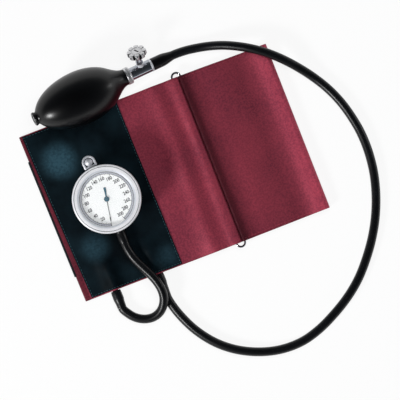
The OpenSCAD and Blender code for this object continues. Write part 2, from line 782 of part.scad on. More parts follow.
// The sector's pivot, the rocker below it and the push rod that joins them
rod_r = 0.4;
tail_half = 0.5;
sector_swing = scale_span / gear_ratio;
rocker_y = -arm_len;
push_offset = (tail_half + rod_r + 0.08) / cos(sector_swing / 2);
pivot_y = rocker_y - push_offset;
sector_dir = 180 + asin(-pivot_y / (pinion_r + sector_r));
pivot = (pinion_r + sector_r) * [cos(sector_dir), sin(sector_dir)];
push_h = sector_z + sector_t / 2 - rocker_z;
rod_x = pivot[0] - push_h * tan(rocker_half) / tan(sector_swing / 2);
rocker_r = 0.6;
lug_t = 1.4;
lug_xs = [rod_x + 1.9, 1.4];
pivot_r = 0.5;
module movement_base_plate() {
    color([0.8, 0.68, 0.42])
        at_gauge()
            difference() {
                union() {
                    translate([0, 0, base_z])
                        cylinder(h = plate_t, r = pillar_ring + pillar_r, $fn = 96);
                    for (x = lug_xs)
                        translate([x, rocker_y - 1.4, rocker_z - 1.4])
                            cube([lug_t, 2.8, base_z - rocker_z + 1.4 + eps]);
                }
                on_pillars()
                    translate([0, 0, base_z - eps])
                        cylinder(h = plate_t + 2 * eps, r = screw_r + run_gap);
                translate([rod_x - 1, rocker_y - 2.4, base_z - eps])
                    cube([2, 4.8, plate_t + 2 * eps]);
                translate([0, 9, base_z - eps])
                    cylinder(h = plate_t + 2 * eps, r = 4.5);
                translate([9, -8, base_z - eps])
                    cylinder(h = plate_t + 2 * eps, r = 4.5);
                translate([0, 0, base_z - eps])
                    cylinder(h = plate_t + 2 * eps, r = pivot_r + run_gap);
                translate([pivot[0], pivot[1], base_z - eps])
                    cylinder(h = plate_t + 2 * eps, r = pivot_r + run_gap);
                translate([lug_xs[0] - 1, rocker_y, rocker_z])
                    rotate([0, 90, 0])
                        cylinder(h = lug_xs[1] - lug_xs[0] + lug_t + 2, r = rocker_r + run_gap);
            }
}

posts = [[9, 4], [-13, 11.5], [-14.5, -15.5]];
post_r = 1.5;
module movement_posts() {
    color([0.78, 0.66, 0.4])
        at_gauge()
            for (p = posts)
                translate([p[0], p[1], base_z + plate_t])
                    cylinder(h = plate_room, r = post_r);
}
module movement_top_plate() {
    color([0.8, 0.68, 0.42])
        at_gauge()
            translate([0, 0, top_z])
                difference() {
                    linear_extrude(plate_t)
                        union() {
                            polygon([posts[0], posts[1], pivot - [3, 0], posts[2]]);
                            for (p = [each posts, pivot])
                                translate(p)
                                    circle(r = 3);
                            circle(r = 4);
                        }
                    for (p = [[0, 0], pivot])
                        translate([p[0], p[1], -eps])
                            cylinder(h = plate_t + 2 * eps, r = (p == pivot ? pivot_r : arbor_r) + run_gap);
                }
}

// The rocker turns the capsule's lift into the sector's swing
rod_top = sector_z + sector_t + 0.6;
module rocker_shaft() {
    color([0.7, 0.7, 0.72])
        at_gauge()
            translate([0, rocker_y, rocker_z]) {
                translate([rod_x - 0.7, 0, 0])
                    rotate([0, 90, 0])
                        cylinder(h = lug_xs[1] + lug_t + 0.6 - rod_x + 0.7, r = rocker_r);
                rotate([-rocker_half, 0, 0])
                    rotate([-90, 0, 0])
                        cylinder(h = arm_len, r = arm_r);
                translate([rod_x, 0, 0])
                    rotate([-rocker_half, 0, 0])
                        cylinder(h = rod_top - rocker_z, r = rod_r);
            }
}

// Involute teeth, given as half the tooth's angle at a radius
pressure_angle = 20;
backlash = 0.045;
function involute(r, rb) = r <= rb ? 0 : let (a = acos(rb / r)) tan(a) * 180 / PI - a;
function half_tooth(r, rp, teeth) = let (rb = rp * cos(pressure_angle))
    90 / teeth + involute(rp, rb) - involute(r, rb) - backlash / rp * 90 / PI;
function tooth_radii(rp, add, ded) = [rp - ded, rp - ded * 0.4, rp, rp + add * 0.5, rp + add];
function tooth(rp, teeth, c, add, ded) = let (rs = tooth_radii(rp, add, ded)) [
    for (r = rs) r * [cos(c - half_tooth(r, rp, teeth)), sin(c - half_tooth(r, rp, teeth))],
    for (i = [4:-1:0]) rs[i] * [cos(c + half_tooth(rs[i], rp, teeth)), sin(c + half_tooth(rs[i], rp, teeth))]];

sector_teeth = pinion_teeth * gear_ratio;
sector_pitch = 360 / sector_teeth;
sector_first = -ceil(sector_swing / sector_pitch) - 2;
sector_last = 2;
sector_add = 0.75 * tooth_m;
sector_ded = 1.3 * tooth_m;
pinion_add = 0.95 * tooth_m;
pinion_ded = 1.15 * tooth_m;
tail_len = 4.4;
mesh_dir = sector_dir - 180;
tail_rest = 180 - sector_swing / 2;
module sector_gear() {
    rim_in = sector_r - 3;
    a0 = mesh_dir + (sector_first - 0.5) * sector_pitch;
    a1 = mesh_dir + (sector_last + 0.5) * sector_pitch;
    far = sector_r * 1.3;
    mid = (a0 + a1) / 2;
    wedge = [[0, 0], far * [cos(a0), sin(a0)], 1.05 * far * [cos(mid), sin(mid)], far * [cos(a1), sin(a1)]];
    color([0.85, 0.75, 0.5])
        at_gauge()
            translate([pivot[0], pivot[1], sector_z])
                linear_extrude(sector_t)
                    difference() {
                        union() {
                            for (i = [sector_first:sector_last])
                                polygon(tooth(sector_r, sector_teeth, mesh_dir + i * sector_pitch,
                                              sector_add, sector_ded + 0.3));
                            intersection() {
                                difference() {
                                    circle(r = sector_r - sector_ded, $fn = 180);
                                    circle(r = rim_in, $fn = 120);
                                }
                                polygon(wedge);
                            }
                            for (a = [a0 + 4, mid, a1 - 4])
                                rotate([0, 0, a])
                                    translate([0, -0.7])
                                        square([rim_in + 0.6, 1.4]);
                            rotate([0, 0, tail_rest])
                                translate([0, -tail_half])
                                    square([tail_len, 2 * tail_half]);
                            circle(r = 2);
                        }
                        circle(r = arbor_r);
                    }
}
module sector_arbor() {
    color([0.7, 0.7, 0.72])
        at_gauge()
            translate([pivot[0], pivot[1], base_z + 0.2]) {
                cylinder(h = 2 * plate_t + plate_room - 0.4, r = pivot_r);
                translate([0, 0, plate_t])
                    cylinder(h = plate_room - 0.4, r = arbor_r);
            }
}
module pinion_arbor() {
    face = sector_t + 0.6;
    color([0.75, 0.75, 0.78])
        at_gauge() {
            translate([0, 0, base_z + 0.2])
                cylinder(h = plate_t, r = pivot_r);
            translate([0, 0, base_z + plate_t + 0.2])
                cylinder(h = pointer_z + pointer_t + 0.8 - base_z - plate_t - 0.2, r = arbor_r);
            translate([0, 0, sector_z - 0.3])
                linear_extrude(face)
                    polygon([for (i = [0:pinion_teeth - 1])
                        each tooth(pinion_r, pinion_teeth, sector_dir + (i + 0.5) * 360 / pinion_teeth,
                                   pinion_add, pinion_ded)]);
            translate([0, 0, spring_z - 0.2])
                cylinder(h = 0.9, r = collet_r);
        }
}

// Hairspring: a flat spiral from the collet on the arbor to a stud in the top plate
collet_r = 1.5;
spring_z = sector_z + sector_t + 0.9;
spring_turns = 5;
spring_pitch = 0.95;
spring_t = 0.18;
spring_r0 = collet_r + 0.15;
spring_r1 = spring_r0 + spring_turns * spring_pitch;
spring_dir = 120;
module hairspring() {
    step = 15;
    n = spring_turns * 360 / step;
    function at(i, off) = let (a = i * step, r = spring_r0 + spring_pitch * a / 360 + off) r * [cos(a), sin(a)];
    color([0.3, 0.35, 0.6])
        at_gauge()
            translate([0, 0, spring_z])
                rotate([0, 0, spring_dir])
                    linear_extrude(0.5)
                        polygon([for (i = [0:n]) at(i, spring_t), for (i = [n:-1:0]) at(i, 0)]);
}
module hairspring_stud() {
    color([0.75, 0.75, 0.78])
        at_gauge()
            rotate([0, 0, spring_dir])
                translate([spring_r1 + spring_t + 0.6, 0, spring_z - 0.2])
                    cylinder(h = top_z - spring_z + 0.2, r = 0.6);
}

// Hanging stud and bow at the top of the case
bow_z = 17;
bow_pivot = bezel_r + 1.6;
bow_centre = bow_pivot + 4.2;
pin_r = 0.8;
module hanging_stud() {
    color([0.86, 0.86, 0.88])
        at_dial()
            translate([0, 0, bow_z])
                difference() {
                    union() {
                        translate([0, case_r - 0.1, 0])
                            rotate([-90, 0, 0])
                                cylinder(h = bow_centre - case_r, r = 2.4);
                        translate([0, bow_centre, 0])
                            sphere(r = dome_r);
                    }
                    translate([-4, bow_pivot, 0])
                        rotate([0, 90, 0])
                            cylinder(h = 8, r = pin_r + run_gap);
                    translate([0, 0, -bow_z])
                        cylinder(h = 2 * bow_z, r = case_r, $fn = 96);
                }
}
module hanging_bow() {
    color([0.88, 0.88, 0.9])
        at_dial()
            translate([0, 0, bow_z]) {
                translate([0, bow_centre, 0])
                    rotate_extrude(angle = 180)
                        translate([bow_r, 0])
                            circle(d = bow_wire, $fn = 24);
                for (s = [-1, 1])
                    translate([s * bow_r, bow_pivot, 0])
                        rotate([-90, 0, 0])
                            cylinder(h = bow_centre - bow_pivot, d = bow_wire, $fn = 24);
                for (s = [-1, 1])
                    translate([s * bow_r, bow_pivot, 0])
                        sphere(d = bow_wire, $fn = 24);
                translate([-bow_r, bow_pivot, 0])
                    rotate([0, 90, 0])
                        cylinder(h = 2 * bow_r, r = pin_r);
            }
}

// Outline of the bulb: an ellipse on each side of its widest place, run into its neck and tail
bulb_mid = bulb_len * 0.52;
tail_half_len = bulb_mid - 5;
neck_half_len = bulb_len - bulb_mid - 5.5;
function belly(s) = let (u = s < bulb_mid ? (bulb_mid - s) / tail_half_len : (s - bulb_mid) / neck_half_len)
    u >= 1 ? 0 : bulb_r * sqrt(1 - u * u);
function end_r(s) = s < bulb_mid ? tail_r : neck_r;
function bulb_profile(s) = pow(pow(belly(s), 3) + pow(end_r(s), 3), 1 / 3);
function inside_profile(s, bore) = max(bore, bulb_profile(s) - bulb_wall);
bulb_steps = 36;
inlet_r = 3.4;
spigot_r = 4.6;
module bulb() {
    seat_in = 9;
    color([0.07, 0.07, 0.07])
        on_axis(0)
            rotate_extrude($fn = 96)
                polygon([
                    [inlet_r, 0], [tail_r + 0.4, 0], [tail_r + 0.7, 1], [tail_r + 0.4, 2.4],
                    each [for (i = [1:bulb_steps - 1]) let (s = 2.4 + (bulb_len - 2.4) * i / bulb_steps)
                        [bulb_profile(s), s]],
                    [neck_r, bulb_len], [spigot_r, bulb_len],
                    each [for (i = [bulb_steps - 1:-1:1]) let (
                        s = seat_in + (bulb_len - 2 * seat_in) * i / bulb_steps)
                        [inside_profile(s, s < bulb_mid ? inlet_r : spigot_r), s]],
                    [inlet_r, seat_in]]);
}

// Inlet valve in the bulb's tail: a seat, a ball and the screen that keeps dust out
inlet_s = 0.4;
inlet_len = 8.4;
inlet_seat = 3.2;
seat_gap = 0.03;
chamber_r = ball_r + 0.2;
seat_r = 1;
module ball_chamber(seat, length) {
    translate([0, 0, seat])
        cylinder(h = length, r = chamber_r);
    translate([0, 0, seat - (chamber_r - seat_r)])
        cylinder(h = chamber_r - seat_r + eps, r1 = seat_r, r2 = chamber_r);
    translate([0, 0, seat - 20])
        cylinder(h = 20, r = seat_r);
}
// Height of a ball's centre above the cone's wide end when it lies on the 45 degree cone
ball_on_seat = ball_r * sqrt(2) - chamber_r + seat_gap;
module inlet_valve_body() {
    color([0.8, 0.8, 0.82])
        on_axis(inlet_s)
            difference() {
                barbed_rod(inlet_r, inlet_len, 2);
                ball_chamber(inlet_seat, inlet_len);
                translate([0, 0, -eps])
                    cylinder(h = 0.8 + eps, r = 2.2);
            }
}
module inlet_ball() {
    color([0.75, 0.75, 0.78])
        on_axis(inlet_s + inlet_seat + ball_on_seat)
            sphere(r = ball_r);
}
module inlet_screen() {
    color([0.6, 0.6, 0.6])
        on_axis(inlet_s)
            difference() {
                cylinder(h = 0.4, r = 2.2);
                for (a = [0:60:300])
                    rotate([0, 0, a])
                        translate([1.25, 0, -eps])
                            cylinder(h = 1, r = 0.35);
                translate([0, 0, -eps])
                    cylinder(h = 1, r = 0.35);
            }
}

// Release valve: collar, body with its check ball, side boss, gland, spindle and knob
module valve_collar() {
    color([0.72, 0.72, 0.73])
        on_axis(collar_s)
            rotate_extrude($fn = 72)
                polygon([
                    [spigot_r, 0], [neck_r - 0.2, 0], [collar_r - 0.4, 0.3], [collar_r, 0.8],
                    [collar_r, collar_w - 0.9], [collar_r - 0.7, collar_w], [spigot_r, collar_w]]);
}

stem_s = body_s + valve_len * 0.52;
stem_roll = 42;
module on_stem(h) {
    on_axis(stem_s)
        rotate([0, 0, stem_roll])
            rotate([-90, 0, 0])
                translate([0, 0, h])
                    children();
}
boss_len = valve_r + 2.4;
stem_boss_r = 3.5;
channel_r = 1.4;
needle_h = channel_r + 1.2;
vent_r = 0.6;
spigot_len = 7;
outlet_seat = 2;
module valve_body() {
    color([0.85, 0.85, 0.87])
        difference() {
            union() {
                on_axis(collar_s - spigot_len)
                    cylinder(h = spigot_len + collar_w, r = spigot_r);
                on_axis(body_s)
                    rotate_extrude($fn = 72)
                        polygon([
                            [0, 0], [valve_r - 0.3, 0], [valve_r, 0.3], [valve_r, valve_len - 1.4],
                            [valve_r + 0.5, valve_len - 1.2], [valve_r + 0.5, valve_len], [0, valve_len]]);
                on_axis(nipple_s)
                    barbed_rod(hose_bore / 2 + 0.4, 12, 3);
                on_stem(0)
                    cylinder(h = boss_len, r = stem_boss_r);
            }
            on_axis(collar_s)
                ball_chamber(outlet_seat, chamber_len);
            on_axis(collar_s + outlet_seat + chamber_len - eps)
                cylinder(h = collar_w + valve_len + 20, r = channel_r);
            on_stem(needle_h)
                cylinder(h = 20, r = spindle_r + run_gap);
            on_stem(0)
                cylinder(h = 20, r = 0.7);
            on_stem(needle_h + 0.7)
                rotate([0, 90, 0])
                    cylinder(h = valve_r + 1, r = vent_r);
        }
}
stop_h = 0.8;
chamber_len = ball_on_seat + ball_r + ball_travel + 0.1 + stop_h;
outlet_ball_s = collar_s + outlet_seat + ball_on_seat;
module outlet_ball() {
    color([0.75, 0.75, 0.78])
        on_axis(outlet_ball_s)
            sphere(r = ball_r);
}

// Drilled washers that stop the two balls
module stop_washer() {
    difference() {
        cylinder(h = stop_h, r = chamber_r);
        for (a = [0, 90, 180, 270])
            rotate([0, 0, a])
                translate([1, 0, -eps])
                    cylinder(h = stop_h + 2 * eps, r = 0.5);
    }
}
module ball_stops() {
    color([0.7, 0.7, 0.72]) {
        on_axis(collar_s + outlet_seat + chamber_len - stop_h)
            stop_washer();
        on_axis(inlet_s + inlet_seat + chamber_len - stop_h)
            stop_washer();
    }
}

gland_h = 5.4;
seal_h = 1;
gland_r = 2.75;
module spindle_seal() {
    color([0.15, 0.15, 0.15])
        on_stem(boss_len)
            difference() {
                cylinder(h = seal_h, r = gland_r);
                translate([0, 0, -eps])
                    cylinder(h = seal_h + 2 * eps, r = spindle_r + run_gap);
            }
}
module spindle_gland() {
    color([0.82, 0.82, 0.84])
        on_stem(boss_len + seal_h)
            difference() {
                union() {
                    cylinder(h = gland_h, r = gland_r);
                    cylinder(h = 1.2, r = stem_boss_r, $fn = 6);
                }
                translate([0, 0, -eps])
                    cylinder(h = gland_h + 2 * eps, r = spindle_r + run_gap);
            }
}
knob_h = boss_len + seal_h + gland_h + 1;
module release_spindle() {
    tip = 1.2;
    color([0.8, 0.8, 0.82])
        on_stem(needle_h + 0.1) {
            cylinder(h = tip, r1 = 0.8, r2 = spindle_r);
            translate([0, 0, tip])
                cylinder(h = knob_h + knob_t - 2 - needle_h - 0.1 - tip, r = spindle_r);
        }
}

// Knob: a star of rounded lobes, its edges rounded off, with a screw slot in its face
module release_knob() {
    lobe_r = knob_r * sin(180 / knob_lobes) * 0.82;
    lobe_ring = knob_r - lobe_r;
    edge = 1;
    color([0.84, 0.84, 0.86])
        on_stem(knob_h)
            difference() {
                intersection() {
                    linear_extrude(knob_t)
                        union() {
                            circle(r = lobe_ring);
                            for (i = [0:knob_lobes - 1])
                                rotate([0, 0, i * 360 / knob_lobes])
                                    translate([lobe_ring, 0])
                                        circle(r = lobe_r, $fn = 32);
                        }
                    rotate_extrude($fn = 72)
                        polygon([
                            [0, 0], [knob_r * 0.6, 0], [knob_r + eps, knob_t * 0.3],
                            [knob_r + eps, knob_t - edge],
                            [knob_r - 0.3 * edge, knob_t - 0.3 * edge], [knob_r - edge, knob_t], [0, knob_t]]);
                }
                translate([0, 0, -eps])
                    cylinder(h = knob_t - 2 + run_gap, r = spindle_r + run_gap);
                translate([-2.4, -0.6, knob_t - 1])
                    cube([4.8, 1.2, 2]);
            }
}

// Hose ends at the gauge and at the release valve
module nipple_hose_end() {
    color([0.08, 0.08, 0.08])
        at_gauge()
            translate([0, -nipple_y, socket_z])
                rotate([90, 0, 0])
                    rotate_extrude()
                        polygon([
                            [hose_bore / 2, 0], [hose_d / 2 - 0.1, 0], [hose_d / 2 + 0.3, 0.4],
                            [hose_d / 2 + 0.3, nipple_len], [hose_d / 2, nipple_len + 1.5],
                            [hose_bore / 2, nipple_len + 1.5]]);
}
module valve_hose_sleeve() {
    bore = hose_bore / 2 + 0.4;
    color([0.07, 0.07, 0.07])
        on_axis(sleeve_s)
            rotate_extrude()
                polygon([
                    [bore, 0], [sleeve_d / 2 - 0.3, 0], [sleeve_d / 2, 0.3],
                    [sleeve_d / 2, sleeve_len - 1.4], [hose_d / 2 + 0.2, sleeve_len],
                    [bore, sleeve_len]]);
}

cuff_shell();
cuff_lining();
bladder();
bladder_port_gauge();
bladder_port_bulb();
loop_panel();
hook_patch();
strap_panel();
slide_frame();
tube_connector_gauge();
tube_connector_bulb();
hose_end_gauge();
hose_end_bulb();
gauge_hose();
bulb_hose();
nipple_hose_end();
valve_hose_sleeve();
gauge_case();
gauge_bezel();
gauge_lens();
lens_gasket();
dial_plate();
pointer();
pressure_socket();
socket_screws();
pressure_capsule();
capsule_stem();
movement_pillars();
movement_base_plate();
movement_posts();
movement_top_plate();
movement_screws();
rocker_shaft();
sector_gear();
sector_arbor();
pinion_arbor();
hairspring();
hairspring_stud();
hanging_stud();
hanging_bow();
bulb();
inlet_valve_body();
inlet_ball();
inlet_screen();
valve_collar();
valve_body();
outlet_ball();
ball_stops();
spindle_gland();
spindle_seal();
release_spindle();
release_knob();
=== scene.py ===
"""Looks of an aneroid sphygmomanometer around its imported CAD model. Numbers are millimetres in the
model's frame, apart from the camera, the lamps, the floor and the materials, which are in metres."""
import bmesh
import bpy
import json
import math
import random
from mathutils import Matrix, Vector


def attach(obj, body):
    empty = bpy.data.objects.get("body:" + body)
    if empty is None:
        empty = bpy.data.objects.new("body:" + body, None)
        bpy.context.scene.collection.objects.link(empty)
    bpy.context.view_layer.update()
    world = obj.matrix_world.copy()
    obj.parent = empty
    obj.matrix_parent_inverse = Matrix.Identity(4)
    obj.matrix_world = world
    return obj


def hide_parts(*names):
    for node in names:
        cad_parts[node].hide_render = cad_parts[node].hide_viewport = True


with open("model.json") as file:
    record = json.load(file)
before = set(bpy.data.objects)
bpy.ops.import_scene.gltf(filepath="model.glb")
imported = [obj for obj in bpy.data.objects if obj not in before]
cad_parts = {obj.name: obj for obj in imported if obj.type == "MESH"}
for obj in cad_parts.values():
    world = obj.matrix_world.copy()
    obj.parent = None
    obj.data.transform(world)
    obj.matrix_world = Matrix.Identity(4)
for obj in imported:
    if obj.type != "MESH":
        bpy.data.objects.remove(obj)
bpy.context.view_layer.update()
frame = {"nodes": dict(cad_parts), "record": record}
MM = 0.001
UP = Vector((0, 0, 1))
random.seed(11)
scene = bpy.context.scene


def smooth(a, b, v):
    """Runs from 0 at a to 1 at b, level at both ends."""
    t = min(1.0, max(0.0, (v - a) / (b - a)))
    return t * t * (3 - 2 * t)


def between(v, rows):
    """Straight-line value at v in rows of (place, value), held at both ends."""
    if v <= rows[0][0]:
        return rows[0][1]
    for (a, fa), (b, fb) in zip(rows, rows[1:]):
        if v <= b:
            return fa + (fb - fa) * (v - a) / (b - a)
    return rows[-1][1]


def hermite(v, rows):
    """Smooth value at v through rows of (place, value)."""
    last = len(rows) - 1
    i = max([k for k in range(last) if rows[k][0] <= v] or [0])
    (x0, a), (x1, b), (x2, c), (x3, d) = [rows[max(0, min(last, k))] for k in (i - 1, i, i + 1, i + 2)]
    t = (v - x1) / (x2 - x1)
    m1 = (c - a) / (x2 - x0) * (x2 - x1)
    m2 = (d - b) / (x3 - x1) * (x2 - x1)
    return ((2 * t ** 3 - 3 * t ** 2 + 1) * b + (t ** 3 - 2 * t ** 2 + t) * m1
            + (-2 * t ** 3 + 3 * t ** 2) * c + (t ** 3 - t ** 2) * m2)


def put(name, data):
    """A new object in the scene."""
    obj = bpy.data.objects.new(name, data)
    scene.collection.objects.link(obj)
    return obj


def final_mesh(obj):
    """The mesh of a text, or of an object with its modifiers applied."""
    bpy.context.view_layer.update()
    graph = bpy.context.evaluated_depsgraph_get()
    return bpy.data.meshes.new_from_object(obj.evaluated_get(graph))


# Camera: almost straight above the cuff, which lies turned in the photograph
VIEW_TURN = math.radians(-21.4)
ELEVATION = math.radians(89.6)
VIEW_RIGHT = Vector((math.cos(VIEW_TURN), math.sin(VIEW_TURN), 0.0))
VIEW_BACK = Vector((math.sin(VIEW_TURN), -math.cos(VIEW_TURN), 0.0))
TARGET = Vector((0.0113, -0.0310, 0.006))
CAMERA_AWAY = 3.2
PIXELS_PER_METRE = 1108.8
PICTURE_WIDTH = 400
SENSOR_WIDTH = 36
toward = math.cos(ELEVATION) * VIEW_BACK + math.sin(ELEVATION) * UP
camera = put("camera", bpy.data.cameras.new("camera"))
camera.data.sensor_width = SENSOR_WIDTH
camera.data.lens = SENSOR_WIDTH * CAMERA_AWAY * PIXELS_PER_METRE / PICTURE_WIDTH
camera.data.clip_end = 20
camera.matrix_world = Matrix.Translation(TARGET + CAMERA_AWAY * toward) @ Matrix(
    (VIEW_RIGHT, toward.cross(VIEW_RIGHT), toward)).transposed().to_4x4()
scene.camera = camera


# Materials
def srgb(r, g, b):
    """Colour of an 8-bit screen value, as the linear values that the nodes take."""
    def linear(c):
        c /= 255
        return c / 12.92 if c <= 0.04045 else ((c + 0.055) / 1.055) ** 2.4
    return (linear(r), linear(g), linear(b), 1.0)


class Tree:
    """A material's node tree with short calls for what all of them use."""

    def __init__(self, name):
        self.material = bpy.data.materials.new(name)
        self.material.use_nodes = True
        self.nodes = self.material.node_tree.nodes
        self.links = self.material.node_tree.links
        self.shader = self.nodes["Principled BSDF"]
        self.place = self.add("ShaderNodeTexCoord").outputs["Object"]

    def add(self, kind, inputs=None, **settings):
        node = self.nodes.new(kind)
        for key, value in settings.items():
            setattr(node, key, value)
        for key, value in (inputs or {}).items():
            if isinstance(value, bpy.types.NodeSocket):
                self.links.new(value, node.inputs[key])
            else:
                node.inputs[key].default_value = value
        return node

    def noise(self, scale, detail=4.0, stretch=None):
        place = self.place
        if stretch:
            place = self.add("ShaderNodeMapping", {"Vector": place, "Scale": stretch}).outputs[0]
        return self.add("ShaderNodeTexNoise", {
            "Vector": place, "Scale": scale, "Detail": detail, "Roughness": 0.55}).outputs["Fac"]

    def ramp(self, value, low, high, to_low=0.0, to_high=1.0):
        return self.add("ShaderNodeMapRange", {
            0: value, 1: low, 2: high, 3: to_low, 4: to_high}).outputs[0]

    def mix(self, share, a, b, **settings):
        return self.add("ShaderNodeMix", {0: share, 6: a, 7: b}, data_type="RGBA",
                        **settings).outputs[2]

    def maths(self, operation, a, b):
        return self.add("ShaderNodeMath", {0: a, 1: b}, operation=operation).outputs[0]

    def weave(self, period):
        """Crossing threads with the given spacing."""
        across, along = [self.add("ShaderNodeTexWave", {
            "Vector": self.place, "Scale": 0.314 / period, "Distortion": 0.4,
            "Detail": 1.0, "Detail Scale": 2.0}, bands_direction=way).outputs["Fac"] for way in "XY"]
        return self.maths("MULTIPLY", across, along)

    def bump(self, height, distance, strength=1.0, after=None):
        inputs = {"Height": height, "Distance": distance, "Strength": strength}
        if after:
            inputs["Normal"] = after
        return self.add("ShaderNodeBump", inputs).outputs[0]

    def finish(self, colour, rough, normal=None, **sockets):
        self.links.new(colour, self.shader.inputs["Base Color"])
        self.links.new(rough, self.shader.inputs["Roughness"])
        if normal:
            self.links.new(normal, self.shader.inputs["Normal"])
        for key, value in sockets.items():
            self.shader.inputs[key.replace("_", " ")].default_value = value
        return self.material


# Where the painted shade and painted highlight run along the slack ply, in metres
SLACK_FROM, SLACK_TO = 0.0332, 0.1132
# Where the painted shade on the hem below the strap's end begins, in metres
PAINTED_HEM_SHADE_FROM, PAINTED_HEM_SHADE_TO = -0.1135, -0.1125


def cloth_material(name, dark, light, period, rough, patches=22.0, painted_light=None, **sockets):
    """Woven cloth: threads both ways, colour that varies in soft patches and fine flecks. Rows of
    painted light darken the slack ply beside the slide frame (painted shade) and lighten it towards
    the right fold (painted highlight); the hem below the strap's end is darkened as painted shade."""
    t = Tree(name)
    patch = t.ramp(t.noise(patches, 3.0), 0.35, 0.68)
    fleck = t.ramp(t.noise(640.0, 3.0), 0.38, 0.62)
    share = t.maths("ADD", t.maths("MULTIPLY", patch, 0.42), t.maths("MULTIPLY", fleck, 0.58))
    colour = t.mix(share, srgb(*dark), srgb(*light))
    # Painted shade beside the slide frame and a painted highlight towards the right fold
    if painted_light:
        x = t.add("ShaderNodeSeparateXYZ", {0: t.place}).outputs[0]
        painted_light_ramp = t.add("ShaderNodeValToRGB", {0: t.ramp(x, SLACK_FROM, SLACK_TO)})
        steps = painted_light_ramp.color_ramp.elements
        for step, (place, value) in zip(list(steps), (painted_light[0], painted_light[-1])):
            step.position, step.color = place, (value, value, value, 1)
        for place, value in painted_light[1:-1]:
            steps.new(place).color = (value, value, value, 1)
        # Painted shade on the hem below the strap's end
        hem = t.ramp(x, PAINTED_HEM_SHADE_FROM, PAINTED_HEM_SHADE_TO, 0.5, 1.0)
        for factor in (painted_light_ramp.outputs[0], hem):
            colour = t.mix(1.0, colour, factor, blend_type="MULTIPLY")
    roughness = t.ramp(t.noise(60.0, 3.0), 0.3, 0.7, *rough)
    soft = t.bump(t.noise(45.0, 5.0), 0.0009, 0.35)
    return t.finish(colour, roughness, t.bump(t.weave(period), 0.00006, 0.5, soft), **sockets)


def rubber_material(name, dark, light, rough, grain=0.00002, **sockets):
    """Moulded rubber: fine grain, faint bloom and a roughness that wanders."""
    t = Tree(name)
    colour = t.mix(t.ramp(t.noise(30.0, 5.0), 0.35, 0.7), srgb(*dark), srgb(*light))
    roughness = t.ramp(t.noise(55.0, 4.0), 0.3, 0.7, *rough)
    return t.finish(colour, roughness, t.bump(t.noise(1600.0, 2.0), grain, 0.4), **sockets)


def metal_material(name, dark, light, rough, stretch=(1, 1, 1), metallic=1.0, grain=900.0,
                   depth=0.000012, **sockets):
    """Plated metal, enamel or print: fine marks, clouded roughness and slightly varied colour."""
    t = Tree(name)
    marks = t.noise(grain, 3.0, stretch)
    cloud = t.noise(70.0, 4.0)
    colour = t.mix(t.ramp(t.maths("ADD", marks, cloud), 0.75, 1.25), srgb(*dark), srgb(*light))
    roughness = t.ramp(cloud, 0.3, 0.7, *rough)
    return t.finish(colour, roughness, t.bump(marks, depth, 0.35), Metallic=metallic, **sockets)


def lens_material():
    t = Tree("lens_clear")
    colour = t.mix(t.noise(40.0), (0.93, 0.96, 0.98, 1), (0.98, 0.99, 1.0, 1))
    return t.finish(colour, t.ramp(t.noise(80.0), 0.3, 0.7, 0.02, 0.05), Alpha=0.05,
                    Specular_IOR_Level=0.6)


# Centres, reach and strength of the painted bluish sheen highlights on the panel, in metres
PAINTED_SHEEN_SPOTS = [((-0.094, 0.048, 0.01), 0.024, 1.15), ((-0.092, -0.036, 0.01), 0.02, 0.6),
          ((-0.035, -0.068, 0.01), 0.018, 0.4)]


def panel_material():
    """Black coated cloth with a bluish painted sheen highlight in broad soft patches."""
    t = Tree("panel_black")
    painted_sheen = None
    for spot, reach, most in PAINTED_SHEEN_SPOTS:
        away = t.add("ShaderNodeVectorMath", {0: t.place, 1: spot},
                     operation="DISTANCE").outputs["Value"]
        patch = t.add("ShaderNodeMapRange", {0: away, 1: 0.002, 2: reach, 3: most, 4: 0.0},
                      interpolation_type="SMOOTHERSTEP").outputs[0]
        painted_sheen = patch if painted_sheen is None else t.maths("ADD", painted_sheen, patch)
    mottle = t.ramp(t.noise(420.0, 5.0), 0.32, 0.68)
    drift = t.ramp(t.noise(38.0, 3.0), 0.35, 0.7)
    mottled = t.maths("MULTIPLY", painted_sheen, t.maths("ADD", t.maths("MULTIPLY", mottle, 0.5), 0.5))
    share = t.maths("ADD", mottled, t.maths("MULTIPLY", drift, 0.14))
    roughness = t.ramp(t.noise(90.0), 0.3, 0.7, 0.5, 0.62)
    soft = t.bump(t.noise(60.0, 4.0), 0.0006, 0.3)
    return t.finish(t.mix(share, srgb(4, 9, 13), srgb(44, 72, 84)), roughness,
                    t.bump(t.weave(0.0006), 0.00005, 0.4, soft),
                    Specular_IOR_Level=0.05, Sheen_Weight=0.01, Sheen_Roughness=0.4)


def hook_material():
    t = Tree("hook_nylon")
    cells = t.add("ShaderNodeTexVoronoi", {"Vector": t.place, "Scale": 900.0}).outputs["Distance"]
    colour = t.mix(t.ramp(cells, 0.1, 0.6), srgb(16, 18, 22), srgb(44, 48, 54))
    return t.finish(colour, t.ramp(cells, 0.1, 0.7, 0.4, 0.7), t.bump(cells, 0.0003, 0.8))
